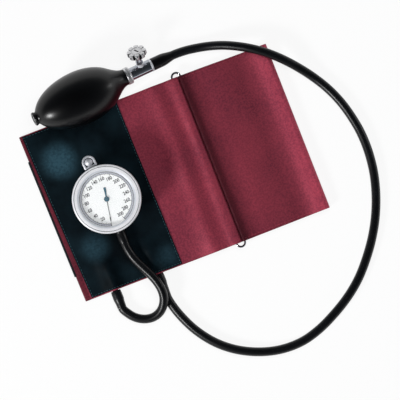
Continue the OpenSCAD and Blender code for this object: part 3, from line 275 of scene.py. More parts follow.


# Painted light along the slack ply, as (share of the way from frame to fold, colour factor): below 1
# is painted shade, above 1 a painted highlight
PAINTED_LIGHT_ROWS = [(0.0, 1.0), (0.006, 0.22), (0.045, 0.3), (0.1, 0.5), (0.2, 0.74), (0.28, 0.86), (0.4, 0.79),
        (0.66, 0.68), (0.76, 0.82), (0.84, 1.0), (0.9, 1.3), (1.0, 1.6)]
MATERIAL = {
    "cuff_cloth": cloth_material("burgundy_nylon", (112, 44, 60), (155, 60, 76), 0.0005, (0.42, 0.54),
                                 painted_light=PAINTED_LIGHT_ROWS, Metallic=0.25, Sheen_Weight=0.06, Sheen_Roughness=0.45,
                                 Sheen_Tint=(0.9, 0.2, 0.25, 1), Specular_IOR_Level=0.12),
    "lining_cloth": cloth_material("lining_nylon", (96, 30, 46), (122, 40, 56), 0.0004, (0.5, 0.62),
                                   Sheen_Weight=0.15),
    "loop_cloth": cloth_material("loop_pile", (7, 9, 14), (18, 22, 29), 0.0008, (0.75, 0.9), 200.0,
                                 Sheen_Weight=0.04, Sheen_Roughness=0.6, Specular_IOR_Level=0.1),
    "hook_nylon": hook_material(),
    "panel_cloth": panel_material(),
    "thread": cloth_material("stitch_thread", (30, 58, 66), (58, 96, 104), 0.00025, (0.6, 0.7), 400.0),
    "thread_red": cloth_material("seam_thread", (118, 34, 50), (150, 50, 66), 0.00025, (0.55, 0.65),
                                 400.0),
    "bladder_rubber": rubber_material("bladder_rubber", (34, 34, 36), (52, 52, 54), (0.55, 0.7)),
    "hose_rubber": rubber_material("hose_rubber", (5, 6, 8), (11, 12, 15), (0.3, 0.36), 0.000004,
                                   Specular_IOR_Level=0.35),
    "bulb_rubber": rubber_material("bulb_rubber", (1, 1, 2), (4, 4, 5), (0.28, 0.32), 0.000006,
                                   Specular_IOR_Level=0.38),
    "lens_clear": lens_material(),
    "bezel_chrome": metal_material("bezel_satin", (222, 222, 226), (238, 238, 241), (0.34, 0.42),
                                   (1, 1, 0.1), 0.15),
}
for name, dark, light, rough, more in (
        ("frame_chrome", (200, 200, 206), (226, 226, 230), (0.08, 0.16), dict(stretch=(1, 0.05, 1))),
        ("fitting_nickel", (186, 186, 186), (214, 214, 212), (0.2, 0.32), {}),
        ("case_metal", (206, 206, 212), (228, 228, 234), (0.34, 0.44),
         dict(stretch=(1, 1, 0.05), depth=0.000002)),
        # A darker copy of the bezel's finish, as painted shade on its inner slope
        ("bezel_painted_shade", (200, 204, 212), (216, 219, 226), (0.4, 0.5), dict(metallic=0.15)),
        # A dark finish for the bezel's groove: painted shade
        ("groove_painted_shade", (40, 41, 46), (66, 67, 73), (0.6, 0.7),
         dict(metallic=0.0, Specular_IOR_Level=0.1)),
        ("dial_enamel", (248, 250, 249), (254, 254, 254), (0.45, 0.55), dict(metallic=0.0)),
        ("print_grey", (170, 174, 184), (188, 191, 200), (0.55, 0.65), dict(metallic=0.0)),
        ("print_dark", (34, 36, 40), (54, 56, 60), (0.6, 0.7), dict(metallic=0.0)),
        ("pointer_blue", (10, 70, 96), (22, 96, 124), (0.35, 0.45), dict(metallic=0.2)),
        ("pointer_teal", (0, 66, 84), (0, 86, 108), (0.6, 0.7),
         dict(metallic=0.0, Specular_IOR_Level=0.15)),
        ("brass", (190, 158, 92), (214, 184, 118), (0.25, 0.38), {}),
        ("capsule_bronze", (184, 136, 88), (206, 160, 110), (0.3, 0.42), {}),
        ("steel", (170, 172, 176), (198, 199, 202), (0.22, 0.34), {}),
        ("spring_steel", (58, 70, 132), (92, 98, 150), (0.25, 0.35), {}),
        ("valve_chrome", (162, 166, 174), (184, 187, 194), (0.06, 0.12), {}),
        ("satin_chrome", (214, 216, 222), (234, 236, 241), (0.42, 0.5), dict(metallic=0.7)),
        ("collar_metal", (204, 204, 206), (228, 228, 230), (0.36, 0.46),
         dict(stretch=(1, 1, 0.3), grain=1400.0)),
        ("knob_nickel", (190, 190, 192), (222, 222, 224), (0.26, 0.36), {}),
        # A dark finish for the knob's lobe flanks and slot: painted shade
        ("notch_painted_shade", (30, 32, 38), (58, 60, 68), (0.3, 0.45), {})):
    MATERIAL[name] = metal_material(name, dark, light, rough, **more)
SLOT_OF = {row["node"]: row["material_slot"] for row in frame["record"]["subparts"]}
for node, obj in frame["nodes"].items():
    obj.data.materials.clear()
    obj.data.materials.append(MATERIAL[SLOT_OF[node]])


# Mesh helpers
def piece(name, points, faces, material, slot=None, body="root", node=(), angle=40):
    """A mesh piece in millimetres that rides on a body and stands for CAD nodes, faces outward."""
    mesh = bpy.data.meshes.new(name)
    mesh.from_pydata([Vector(p) * MM for p in points], [], faces)
    mesh.validate()
    skin = bmesh.new()
    skin.from_mesh(mesh)
    if skin.calc_volume(signed=True) < 0:
        bmesh.ops.reverse_faces(skin, faces=skin.faces)
        skin.to_mesh(mesh)
    skin.free()
    mesh.shade_smooth()
    mesh.set_sharp_from_angle(angle=math.radians(angle))
    mesh.materials.append(MATERIAL[material])
    obj = put(name, mesh)
    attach(obj, body)
    if node:
        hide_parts(*node)
    return obj


def rings(width, count, closed):
    """Faces between successive rings of points, the last joined to the first where closed."""
    faces = []
    total = width * count
    for i in range(count if closed else count - 1):
        for k in range(width):
            a, b = i * width + k, i * width + (k + 1) % width
            faces.append((a, b, (b + width) % total, (a + width) % total))
    return faces


def capped(width, count):
    """Faces between rings in a row, with both ends closed."""
    last = width * (count - 1)
    ends = [tuple(reversed(range(width))), tuple(range(last, last + width))]
    return rings(width, count, False) + ends


def circle(sides, side, other):
    """Unit vectors all the way round, from side towards other."""
    for k in range(sides):
        a = 2 * math.pi * k / sides
        yield a, math.cos(a) * side + math.sin(a) * other


def lathe(name, profile, origin, axis, material, slot=None, body="root", node=(), sides=96,
          wobble=None):
    """Turns a closed profile of (radius, height) round an axis."""
    axis = Vector(axis).normalized()
    side = axis.orthogonal().normalized()
    origin = Vector(origin)
    points = []
    for a, out in circle(sides, side, axis.cross(side)):
        for r, h in profile:
            points.append(origin + axis * h + out * (wobble(r, h, a) if wobble else r))
    return piece(name, points, rings(len(profile), sides, True), material, slot, body, node)


def rounded(corners, steps=4):
    """A profile whose corners (radius, height, rounding) are rounded off."""
    out = []
    n = len(corners)
    for i, (x, y, r) in enumerate(corners):
        here = Vector((x, y))
        if r <= 0:
            out.append((x, y))
            continue
        before = Vector(corners[i - 1][:2])
        after = Vector(corners[(i + 1) % n][:2])
        a = here + (before - here).normalized() * r
        b = here + (after - here).normalized() * r
        for s in range(steps + 1):
            t = s / steps
            p = a * (1 - t) ** 2 + here * 2 * t * (1 - t) + b * t * t
            out.append((p.x, p.y))
    return out


# Hoses, with their routes' points from part.scad
HOSE_D, HOSE_BORE_R = 8.1, 2.0
AXIS = Vector((0.978226, 0.068404, -0.195946))
BULB_TAIL = Vector((-100.9, 90.0, 35.4))
SLEEVE_S, SLEEVE_LEN = 118.8, 20.0
PORTS, PORT_Z = (-89.5, -48.0), 4.8
HOSE_ENDS = list(zip(PORTS, ("gauge", "bulb")))
HOSE_END_Y, HOSE_END_LEN = -81.6, 14.0
DOWN_Y, UP_Y = Vector((0, -1, 0)), Vector((0, 1, 0))


def spline(route, start, end, steps=8):
    """Points of a smooth curve through the route, leaving along start and arriving along end."""
    route = [Vector(p) for p in route]
    before = route[1] - 2 * (route[1] - route[0]).length * Vector(start)
    after = route[-2] + 2 * (route[-1] - route[-2]).length * Vector(end)
    p = [before, *route, after]
    out = []
    for i in range(1, len(p) - 2):
        a, b, c, d = p[i - 1:i + 3]
        for s in range(steps):
            t = s / steps
            out.append(0.5 * (2 * b + (c - a) * t + (2 * a - 5 * b + 4 * c - d) * t * t
                              + (3 * b - a - 3 * c + d) * t ** 3))
    return out + [p[-2]]


def hose(name, route, start, end, node):
    """A round hose along its route, with its start and its length in metres."""
    points = spline(route, start, end)
    curve = bpy.data.curves.new(name, "CURVE")
    curve.dimensions = "3D"
    curve.bevel_depth = HOSE_D / 2 * MM
    curve.bevel_resolution = 8
    curve.use_fill_caps = True
    run = curve.splines.new("POLY")
    run.points.add(len(points) - 1)
    for knot, p in zip(run.points, points):
        knot.co = (*(p * MM), 1.0)
    run.use_smooth = True
    curve.materials.append(MATERIAL["hose_rubber"])
    obj = put(name, curve)
    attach(obj, "root")
    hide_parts(node)
    length = sum((b - a).length for a, b in zip(points, points[1:]))
    return obj, points[0] * MM, length * MM


GAUGE_HOSE = [
    (-66, -42, 15.8),
    (-65.4, -49.7, 15.6), (-63.6, -57.2, 15.2), (-60.8, -64.2, 14.9), (-57.4, -71.2, 14.7),
    (-54.1, -78.5, 14.6), (-51.5, -86, 14.6), (-50.3, -93.8, 14.2), (-51.2, -101.2, 12.9),
    (-54.5, -107.6, 10.6), (-59.9, -112.2, 8), (-66.8, -114, 5.8), (-74.1, -112.8, 4.5),
    (-80.9, -108.9, 4.2), (-86, -103.1, 4.4),
    (PORTS[0], HOSE_END_Y - HOSE_END_LEN, PORT_Z)]
BULB_HOSE = [
    (PORTS[1], HOSE_END_Y - HOSE_END_LEN, PORT_Z),
    (-47.6, -106, 4.4), (-43, -122, 4.1), (-34.9, -139.2, 4.1), (-22.9, -155.4, 4.1),
    (-7.6, -168.4, 4.1), (10.8, -177.9, 4.1), (30.1, -183.1, 4.1), (49.9, -183.5, 4.1),
    (68.3, -179, 4.1), (86.7, -170.8, 4.1), (104.2, -160.5, 4.1), (119.1, -148.6, 4.1),
    (132.3, -134.2, 4.1), (143.6, -119.1, 4.1), (153.3, -102.4, 4.1), (161, -84.1, 4.1),
    (166.3, -65.2, 4.1), (168.8, -45.8, 4.1), (168.6, -27.1, 4.1), (165.9, -10, 4.1),
    (161.7, 5.6, 4.1), (155.3, 20.8, 4.1), (147, 34.9, 4.8), (137.2, 48.1, 8), (126.7, 59.9, 12.4),
    (115.7, 70.2, 15), (104, 78.9, 15.4), (92.2, 86, 13.4), (80.6, 91.5, 10.2), (68.9, 95.4, 7),
    (57.2, 98, 5.3), (46.5, 99.4, 5.9),
    BULB_TAIL + (SLEEVE_S + SLEEVE_LEN) * AXIS]
gauge_hose, gauge_exit, gauge_length = hose("hose_to_gauge", GAUGE_HOSE, DOWN_Y, UP_Y, "gauge_hose")
bulb_hose, bulb_exit, bulb_length = hose("hose_to_bulb", BULB_HOSE, DOWN_Y, -AXIS, "bulb_hose")

hose_ends = [lathe("rubber_end_" + end, rounded([
    (HOSE_BORE_R, 0, 0), (2.9, 0, 0), (2.9, -2.2, 0), (4.5, -2.2, 0.6), (4.75, 1, 0.4),
    (4.8, 6.2, 1.2), (4.3, 8.6, 1.2), (4.08, HOSE_END_LEN, 0), (HOSE_BORE_R, HOSE_END_LEN, 0)]),
    (x, HOSE_END_Y, PORT_Z), DOWN_Y, "hose_rubber", node=("hose_end_" + end,), sides=48)
    for x, end in HOSE_ENDS]
GAUGE = Vector((-66.0, 0.0, 10.6))
NIPPLE_Y, NIPPLE_LEN, SOCKET_Z = 29.5, 11.0, 5.2
nipple_end = lathe("rubber_end_nipple", rounded([
    (HOSE_BORE_R, 0, 0), (4.35, 0, 0.5), (4.35, 2.4, 0), (4.2, 2.8, 0), (4.35, 3.2, 0),
    (4.35, NIPPLE_LEN, 0), (4.05, NIPPLE_LEN + 1.5, 0), (HOSE_BORE_R, NIPPLE_LEN + 1.5, 0)]),
    GAUGE + Vector((0, -NIPPLE_Y, SOCKET_Z)), DOWN_Y, "hose_rubber", node=("nipple_hose_end",),
    sides=48)
sleeve = lathe("rubber_sleeve_valve", rounded([
    (2.4, 0, 0), (5.8, 0, 0.5), (5.8, 11.4, 2.4), (4.12, SLEEVE_LEN, 0), (2.4, SLEEVE_LEN, 0)]),
    BULB_TAIL + SLEEVE_S * AXIS, AXIS, "bulb_rubber", "hose_rubber", node=("valve_hose_sleeve",),
    sides=64)


# Cuff: one strip of cloth, folded. A layer's level is its height before the cloth's own form is added.
HALF_W, INNER_HALF_W, EDGE_K = 80.0, 56.0, 0.36
FRAME_X, STRAP_END, LEFT_FOLD, RIGHT_FOLD, HEM_X, STRAP_FOLD = 31.6, -118.0, -116.3, 113.0, 35.6, 30.6
PLY_T, PLY_MID, BODY_MID, STRAP_MID, WIRE_Z = 1.0, 0.5, 5.4, 8.8, 7.1
WIRE_TURN_R, LEFT_TURN_Z = 1.7, 2.95
SLACK_LEN = RIGHT_FOLD - HEM_X
STRAP_FROM_LEVEL, BODY_FROM_LEVEL = 8.2, 5.0


def squeeze(x, y):
    """Share of its level that a point keeps, because the cuff thins towards its two long edges."""
    share = min(1.0, max(0.0, (19.6 - x) / 40))
    return 1 - (1 - EDGE_K) * (abs(y) / HALF_W) ** 4 * share


def rise(x, y):
    """Height of the two low humps over the bladder's spouts."""
    if y > -42:
        return 0.0
    bell = sum(math.exp(-((x - p) / 7) ** 2) for p in PORTS)
    return between(-y, [(42, 0), (56, 5.02), (80, 6.82)]) * bell


RIDGE_ROWS = [(-15, 0), (-10, 0.1), (-5, 0.6), (0, 1.7), (5, 3.2), (8.5, 3.7), (12, 2.4), (16, 0.1),
              (19.5, -1.3), (22, -1.1), (25.5, 0.3), (28.5, 1.0), (30.6, 0)]
RIDGE_SWAYS_TO = 26


def ridge(x, y, level):
    """The strap's two long folds."""
    if level < STRAP_FROM_LEVEL or not RIDGE_ROWS[0][0] < x < RIDGE_ROWS[-1][0]:
        return 0.0
    sway = 0.9 * math.sin(y / 29 + 0.6) if x < RIDGE_SWAYS_TO else 0.0
    return hermite(x - sway, RIDGE_ROWS) * (0.78 + 0.22 * smooth(-HALF_W, 20, y))


def creases(x, y, level):
    """Soft wrinkles of the top layers, flat below the gauge and towards the bulb."""
    if level < (STRAP_FROM_LEVEL if x < 34 else BODY_FROM_LEVEL):
        return 0.0
    at_bulb = smooth(30, 78, y) * smooth(10, -10, x)
    calm = smooth(34, 58, math.hypot(x - GAUGE.x, y)) * (1 - 0.85 * at_bulb)
    near_frame = math.exp(-((x - FRAME_X) / 9) ** 2)
    pucker = 0.32 * near_frame * (0.5 + 0.5 * math.sin(y / 1.9 + 1.4 * math.sin(y / 13.0)))
    long_waves = 0.16 * (1 + math.sin(x / 6.5 + y / 31 + 1.1 * math.sin(y / 23)))
    slant = 0.14 * (1 + math.sin((x * 0.55 + y * 0.84) / 8.5 + 1.7 * math.sin(x / 37)))
    return pucker + calm * (long_waves + slant)


def slack_folds(x, y):
    """Folds of the slack cloth between the frame and the right fold."""
    u = (x - HEM_X) / SLACK_LEN
    if u <= 0 or u >= 1:
        return 0.0
    fold = 1.5 * math.exp(-((x - 84 - 0.14 * (y + 80)) / 9) ** 2) * smooth(20, -80, y)
    corner = 1.2 * math.exp(-((x - 66 + 0.5 * (y - 60)) / 12) ** 2) * smooth(-10, 75, y)
    return math.sin(math.pi * u) * (fold + corner)


def cloth(x, y, level):
    """Place of a layer's point; the cuff lies a little askew, as soft goods do."""
    z = level * squeeze(x, y) + ridge(x, y, level)
    z += between(level, [(1, 0), (3.7, 1)]) * rise(x, y)
    across = -0.0145 * y * smooth(-40, -112, x)
    along = 1.2 * smooth(20, -110, x) - 0.016 * max(0.0, y) * smooth(30, 113, x)
    return Vector((x + across, y + along, z + creases(x, y, level)))


def arc(cx, cz, r, a, b, n):
    return [(cx + r * math.cos(math.radians(a + (b - a) * i / n)),
             cz + r * math.sin(math.radians(a + (b - a) * i / n))) for i in range(n + 1)]


def line(x0, x1, z, step):
    """Points between two places at one level, without the two ends."""
    n = max(1, round(abs(x1 - x0) / step))
    return [(x0 + (x1 - x0) * i / n, z) for i in range(1, n)]


def cross_section(half, step, t):
    """Closed row of (y, side) round a cloth of thickness t, with rounded edges."""
    n = round(2 * half / step)
    flat = [-half + 0.4 * t + (2 * half - 0.8 * t) * i / n for i in range(n + 1)]
    edge = 0.12 * t
    return ([(y, 1.0) for y in flat] + [(half - edge, 0.7), (half, 0.0), (half - edge, -0.7)]
            + [(y, -1.0) for y in reversed(flat)]
            + [(edge - half, -0.7), (-half, 0.0), (edge - half, 0.7)])


def ribbon(name, path, t, half, step, material, node, lift=None, skew=None):
    """A closed strip of cloth of thickness t and half its width along a path of (x, level)."""
    rows = cross_section(half, step, t)
    count, m = len(path), len(rows)
    points = []
    for i, (x, z) in enumerate(path):
        a, b = path[max(0, i - 1)], path[min(count - 1, i + 1)]
        way = Vector((b[0] - a[0], b[1] - a[1])).normalized()
        thick = t / 2 * (0.55 if i in (0, count - 1) else 1.0)
        for y, side in rows:
            off = thick * side
            px, pz = x - way.y * off, z + way.x * off
            if skew:
                px += skew(x, y)
            p = cloth(px, y, pz)
            if lift:
                p.z += lift(px, y, i)
            points.append(p)
    faces = rings(m, count, False)
    turn = m // 2
    for base, flip in ((0, False), ((count - 1) * m, True)):
        cap = [(k, k + 1, m - 5 - k, m - 4 - k) for k in range(turn - 3)]
        cap += [(turn - 3, turn - 2, turn - 1), (m - 4, m - 3, m - 2, m - 1, 0)]
        faces += [tuple(base + k for k in (face if flip else reversed(face))) for face in cap]
    return piece(name, points, faces, material, node=(node,))


RIGHT_ROWS = [(35.6, 8.8), (37.2, 8.2), (39, 7.1), (41, 6.5), (47, 6.2), (54, 5.9), (64, 5.6),
              (76, 5.4), (88, 5.3), (94, 5.7), (100, 6.7), (105, 8.1), (109, 9.2), (113, 9.5)]


def right_z(u):
    """Height of the slack cloth: it drops off the wire, lies on the layers below and rises again."""
    return hermite(HEM_X + SLACK_LEN * u, RIGHT_ROWS)


HEM_END, SLACK_STEPS = 46.6, 56
STRAP_STEP, BODY_STEP = 1.7, 3.4
hem = ([(HEM_END, BODY_MID)] + line(HEM_END, HEM_X, BODY_MID, 3)
       + arc(HEM_X, WIRE_Z, WIRE_TURN_R, 270, 90, 12))
right = [(HEM_X + SLACK_LEN * i / SLACK_STEPS, right_z(i / SLACK_STEPS))
         for i in range(1, SLACK_STEPS)]
right_turn = arc(RIGHT_FOLD, 5, 4.5, 90, -90, 18)
under = line(RIGHT_FOLD, LEFT_FOLD, PLY_MID, BODY_STEP)
left_turn = arc(LEFT_FOLD, LEFT_TURN_Z, 2.45, 270, 90, 12)
body_ply = line(LEFT_FOLD, STRAP_FOLD, BODY_MID, BODY_STEP)
strap_turn = arc(STRAP_FOLD, WIRE_Z, WIRE_TURN_R, -90, 90, 12)
strap = line(STRAP_FOLD, STRAP_END, STRAP_MID, STRAP_STEP) + [(STRAP_END, STRAP_MID)]
cuff_path = hem + right + right_turn + under + left_turn + body_ply + strap_turn + strap
slack_part = range(len(hem), len(hem) + len(right))

shell = ribbon("cuff_cloth", cuff_path, PLY_T, HALF_W, 2.0, "cuff_cloth", "cuff_shell",
               lambda x, y, i: slack_folds(x, y) if i in slack_part else 0.0)


def flat_layer(name, x0, x1, z0, z1, half, material, node):
    """A flat layer between two places and two levels."""
    mid = (z0 + z1) / 2
    path = [(x0, mid)] + line(x0, x1, mid, 3.0) + [(x1, mid)]
    return ribbon(name, path, z1 - z0, half, 2.5, material, node)


LOOP_END, LOOP_MID, LOOP_T = -20.4, 6.55, 0.7
lining = flat_layer("cuff_lining_cloth", -108, 100, 3.7, 4.5, HALF_W, "lining_cloth", "cuff_lining")
flat_layer("bladder_bag", -103, 97, 1.3, 3.4, INNER_HALF_W, "bladder_rubber", "bladder")
loop_path = (arc(LEFT_FOLD, LEFT_TURN_Z, 3.6, 205, 90, 10) + line(LEFT_FOLD, LOOP_END, LOOP_MID, 3.0)
             + [(LOOP_END, LOOP_MID)])
loop_panel = ribbon("loop_panel_cloth", loop_path, LOOP_T, INNER_HALF_W, 2.5, "loop_cloth",
                    "loop_panel")
hook = flat_layer("hook_patch_cloth", -112, -26.4, 7.2, 8.0, INNER_HALF_W, "hook_nylon", "hook_patch")

PANEL_X0, PANEL_X1, PANEL_Y = -114.7, -25.5, 79.0
PANEL_T, PANEL_MID, PANEL_TOP = 0.7, 9.95, 10.3


def panel_skew(x, y):
    """The panel is sewn on a little askew, more so at its left end."""
    u = (x - PANEL_X0) / (PANEL_X1 - PANEL_X0)
    return y * (-0.0235 * (1 - u) - 0.0137 * u)


panel_line = line(PANEL_X0 - STRAP_STEP, PANEL_X1 + STRAP_STEP, PANEL_MID, STRAP_STEP)
panel_path = ([(PANEL_X0, PANEL_MID)] + [p for p in panel_line if PANEL_X0 < p[0] < PANEL_X1]
              + [(PANEL_X1, PANEL_MID)])
panel = ribbon("strap_panel_cloth", panel_path, PANEL_T, PANEL_Y, 2.0, "panel_cloth", "strap_panel",
               skew=panel_skew)


def stitches(name, lines, material, slot, pitch=2.9, length=1.9, width=0.36, lift=0.04):
    """Dashes of thread along lines of points, each a slim spindle half sunk in the cloth."""
    points, faces = [], []
    for path in lines:
        gone, at = 0.0, []
        for a, b in zip(path, path[1:]):
            span = (b - a).length
            while gone <= span:
                at.append((a.lerp(b, gone / span), (b - a).normalized()))
                gone += pitch
            gone -= span
        for centre, along in at:
            across = along.cross(UP).normalized()
            up = across.cross(along)
            half = length / 2 * random.uniform(0.88, 1.05)
            base = len(points)
            for s, k in ((-1, 0.35), (-0.6, 1), (0.6, 1), (1, 0.35)):
                for j in range(6):
                    a = math.pi * j / 3
                    points.append(centre + along * half * s + across * width / 2 * k * math.cos(a)
                                  + up * (lift + width * 0.4 * k * math.sin(a)))
            faces += [tuple(base + k for k in face) for face in capped(6, 4)]
    return piece(name, points, faces, material, slot)


SEAM_STEPS = 60


def seam(fixed, a, b, level, along_x, skew=False):
    """Points on a layer from a to b along x or along y, with the other place fixed."""
    out = []
    for i in range(SEAM_STEPS + 1):
        v = a + (b - a) * i / SEAM_STEPS
        x, y = (v, fixed) if along_x else (fixed, v)
        out.append(cloth(x + panel_skew(x, y) if skew else x, y, level))
    return out


def slack_seam(y):
    """Points on the slack cloth from the frame to the right fold."""
    out = []
    for i in range(SEAM_STEPS + 1):
        x = HEM_X + 2 + (SLACK_LEN - 2) * i / SEAM_STEPS
        p = cloth(x, y, right_z((x - HEM_X) / SLACK_LEN) + PLY_T / 2)
        p.z += slack_folds(x, y)
        out.append(p)
    return out


PANEL_INSET, CUFF_SEAM_Y, STRAP_TOP = 1.3, 77.6, 9.3
low, high = PANEL_INSET - PANEL_Y, PANEL_Y - PANEL_INSET
left, right_end = PANEL_X0 + PANEL_INSET, PANEL_X1 - PANEL_INSET
stitches("panel_stitching", [
    seam(right_end, low, high, PANEL_TOP, False, True),
    seam(left, low, high, PANEL_TOP, False, True),
    seam(high, left, right_end, PANEL_TOP, True, True),
    seam(low, left, right_end, PANEL_TOP, True, True)], "thread", "panel_cloth")
stitches("cuff_stitching", [
    seam(CUFF_SEAM_Y, PANEL_X1 + 2, 28, STRAP_TOP, True),
    seam(-CUFF_SEAM_Y, PANEL_X1 + 2, 28, STRAP_TOP, True),
    slack_seam(CUFF_SEAM_Y), slack_seam(-CUFF_SEAM_Y)],
    "thread_red", "cuff_cloth", 3.2, 2.3, 0.34, 0.02)


# Bladder spouts
for x, end in HOSE_ENDS:
    lathe("spout_" + end, rounded([
        (1.6, 0, 0), (2.75, 0, 0), (2.75, 22, 0.5), (2.75, 24.3, 0.5), (1.6, 24.3, 0)]),
        (x, -56.3, PORT_Z), DOWN_Y, "bladder_rubber", node=("bladder_port_" + end,), sides=40)


# Bulb, along its axis from the tail
BULB_LEN, BULB_R, TAIL_R, NECK_END_R = 92.0, 24.3, 5.6, 7.5
BULB_MID, NECK_FROM, TAIL_FROM, BULB_WALL = 0.52 * BULB_LEN, 78.0, 3.6, 2.6
BELLY_SPAN = BULB_LEN - BULB_MID - 5.5
TAIL_BORE_R, NECK_BORE_R = 3.4, 4.6
BLEND = 2.6


def bulb_radius(s):
    """Belly of two half ellipses that runs out smoothly into the tail and the neck."""
    if s < BULB_MID:
        u = (BULB_MID - s) / (BULB_MID - TAIL_FROM)
        full = (BULB_R ** BLEND - TAIL_R ** BLEND) ** (1 / BLEND)
        belly = 0.0 if u >= 1 else full * math.sqrt(1 - u * u)
        return (belly ** BLEND + TAIL_R ** BLEND) ** (1 / BLEND)
    u = (min(s, NECK_FROM) - BULB_MID) / BELLY_SPAN
    r = BULB_R * math.sqrt(1 - u * u)
    if s <= NECK_FROM:
        return r
    slope = -BULB_R * u / BELLY_SPAN / math.sqrt(1 - u * u)
    t = (s - NECK_FROM) / (BULB_LEN - NECK_FROM)
    return (r * (1 - 3 * t ** 2 + 2 * t ** 3)
            + slope * (BULB_LEN - NECK_FROM) * (t - 2 * t ** 2 + t ** 3)
            + NECK_END_R * (3 * t ** 2 - 2 * t ** 3))


outline = [(TAIL_BORE_R, 0), (5.7, 0), (6.05, 0.25), (6.3, 0.9), (6.25, 1.7), (5.95, 2.3)]
outline += [(bulb_radius(s), s) for s in [2.6 + 89.2 * i / 88 for i in range(89)]]
outline += [(NECK_END_R, BULB_LEN), (NECK_BORE_R, BULB_LEN)]
inner = [(max(NECK_BORE_R if s > BULB_MID else TAIL_BORE_R, bulb_radius(s) - BULB_WALL), s)
         for s in [83 - 74 * i / 40 for i in range(41)]]
lathe("bulb_rubber_body", outline + inner, BULB_TAIL, AXIS, "bulb_rubber", node=("bulb",), sides=128)


# Gauge
CASE_R, BEZEL_R, SIGHT_R = 28.5, 31.0, 24.7
LIP_Z, BEZEL_TOP, BEZEL_H = 31.7, 33.3, 12.5
BEZEL_LOW = BEZEL_TOP - BEZEL_H
RIM_ROUND, GROOVE_R = 1.6, 29.15
rim_arc = [(BEZEL_R - RIM_ROUND * (1 - math.cos(math.radians(a))),
            BEZEL_TOP - 0.35 - RIM_ROUND * (1 - math.sin(math.radians(a)))) for a in range(0, 91, 7)]
bezel = lathe("bezel_ring", [
    (CASE_R + 0.05, BEZEL_LOW), (BEZEL_R - 1.4, BEZEL_LOW), (BEZEL_R - 0.7, BEZEL_LOW + 0.25),
    (BEZEL_R - 0.15, BEZEL_LOW + 0.9), (BEZEL_R, BEZEL_LOW + 1.6), *rim_arc,
    (GROOVE_R + 0.24, BEZEL_TOP - 0.36), (GROOVE_R + 0.2, BEZEL_TOP - 1.5),
    (GROOVE_R - 0.2, BEZEL_TOP - 1.5), (GROOVE_R - 0.24, BEZEL_TOP - 0.22),
    (GROOVE_R - 0.7, BEZEL_TOP - 0.05), (27.4, BEZEL_TOP), (SIGHT_R + 1.6, BEZEL_TOP - 0.25),
    (SIGHT_R + 0.5, BEZEL_TOP - 0.7), (SIGHT_R + 0.1, BEZEL_TOP - 1.1), (SIGHT_R, LIP_Z),
    (CASE_R + 0.05, LIP_Z)], GAUGE, UP, "bezel_chrome", node=("gauge_bezel",), sides=160)
# The bezel's inner slope takes a darker copy of its finish: painted shade where the slope faces away
# from the light
bezel.data.materials.append(MATERIAL["bezel_painted_shade"])
for face in bezel.data.polygons:
    if math.hypot(face.center.x / MM - GAUGE.x, face.center.y / MM) < SIGHT_R + 1.35:
        face.material_index = 1
# A dark ring at the bottom of the bezel's groove: painted shade in the groove
lathe("bezel_groove", [
    (GROOVE_R - 0.3, BEZEL_TOP - 1.7), (GROOVE_R + 0.3, BEZEL_TOP - 1.7),
    (GROOVE_R + 0.21, BEZEL_TOP - 1.1), (GROOVE_R - 0.21, BEZEL_TOP - 1.1)],
    GAUGE, UP, "groove_painted_shade", "bezel_chrome", sides=160)

DIAL_TURN, DIAL_TOP = math.radians(5.2), 38.0
SCALE_START, SPAN = math.radians(5.2 - 90 - 15.75), math.radians(328.5)
SCALE_END = SCALE_START - SPAN
FULL_SCALE = 300
BAND_IN, BAND_OUT, PRINT = 22.45, 24.3, 0.03
NUMBER_R, NUMBER_SIZE, NUMBER_NARROWED = 18.2, 4.4, 0.86


def polar(r, a, z):
    """Point at a distance and an angle round the gauge's axis, at a height."""
    return Vector((GAUGE.x + r * math.cos(a), r * math.sin(a), z))


def print_arc(points, faces, r0, r1, a0, a1, top, n=1):
    """Adds print between two radii and two angles, half sunk in the dial."""
    base = len(points)
    z0, z1 = DIAL_TOP - PRINT, DIAL_TOP + top
    for i in range(n + 1):
        a = a0 + (a1 - a0) * i / n
        points += [polar(r0, a, z0), polar(r1, a, z0), polar(r1, a, z1), polar(r0, a, z1)]
    for i in range(n):
        for k in range(4):
            a, b = base + 4 * i + k, base + 4 * i + (k + 1) % 4
            faces.append((a, a + 4, b + 4, b))
    end = base + 4 * n
    faces += [(base, base + 1, base + 2, base + 3), (end + 3, end + 2, end + 1, end)]


points, faces = [], []
print_arc(points, faces, BAND_IN, BAND_OUT, SCALE_END, SCALE_START, 0.02, 120)
piece("dial_band", points, faces, "print_grey", "dial_enamel", angle=20)
points, faces = [], []
for r, half in ((BAND_IN, 0.17), (BAND_OUT, 0.2)):
    print_arc(points, faces, r - half, r + half, SCALE_END, SCALE_START, 0.04, 120)
for a in (SCALE_START, SCALE_END):
    print_arc(points, faces, BAND_IN - 0.2, BAND_OUT + 0.22, a - 0.008, a + 0.008, 0.04)
for mmhg in range(0, FULL_SCALE + 1, 2):
    a = SCALE_START - SPAN * mmhg / FULL_SCALE
    depth, half = (1.9, 0.16) if mmhg % 20 == 0 else (1.4, 0.12) if mmhg % 10 == 0 else (0.8, 0.07)
    print_arc(points, faces, BAND_IN - depth, BAND_IN, a - half / 22, a + half / 22, 0.03)
piece("dial_ticks", points, faces, "print_dark", "dial_enamel", angle=20)

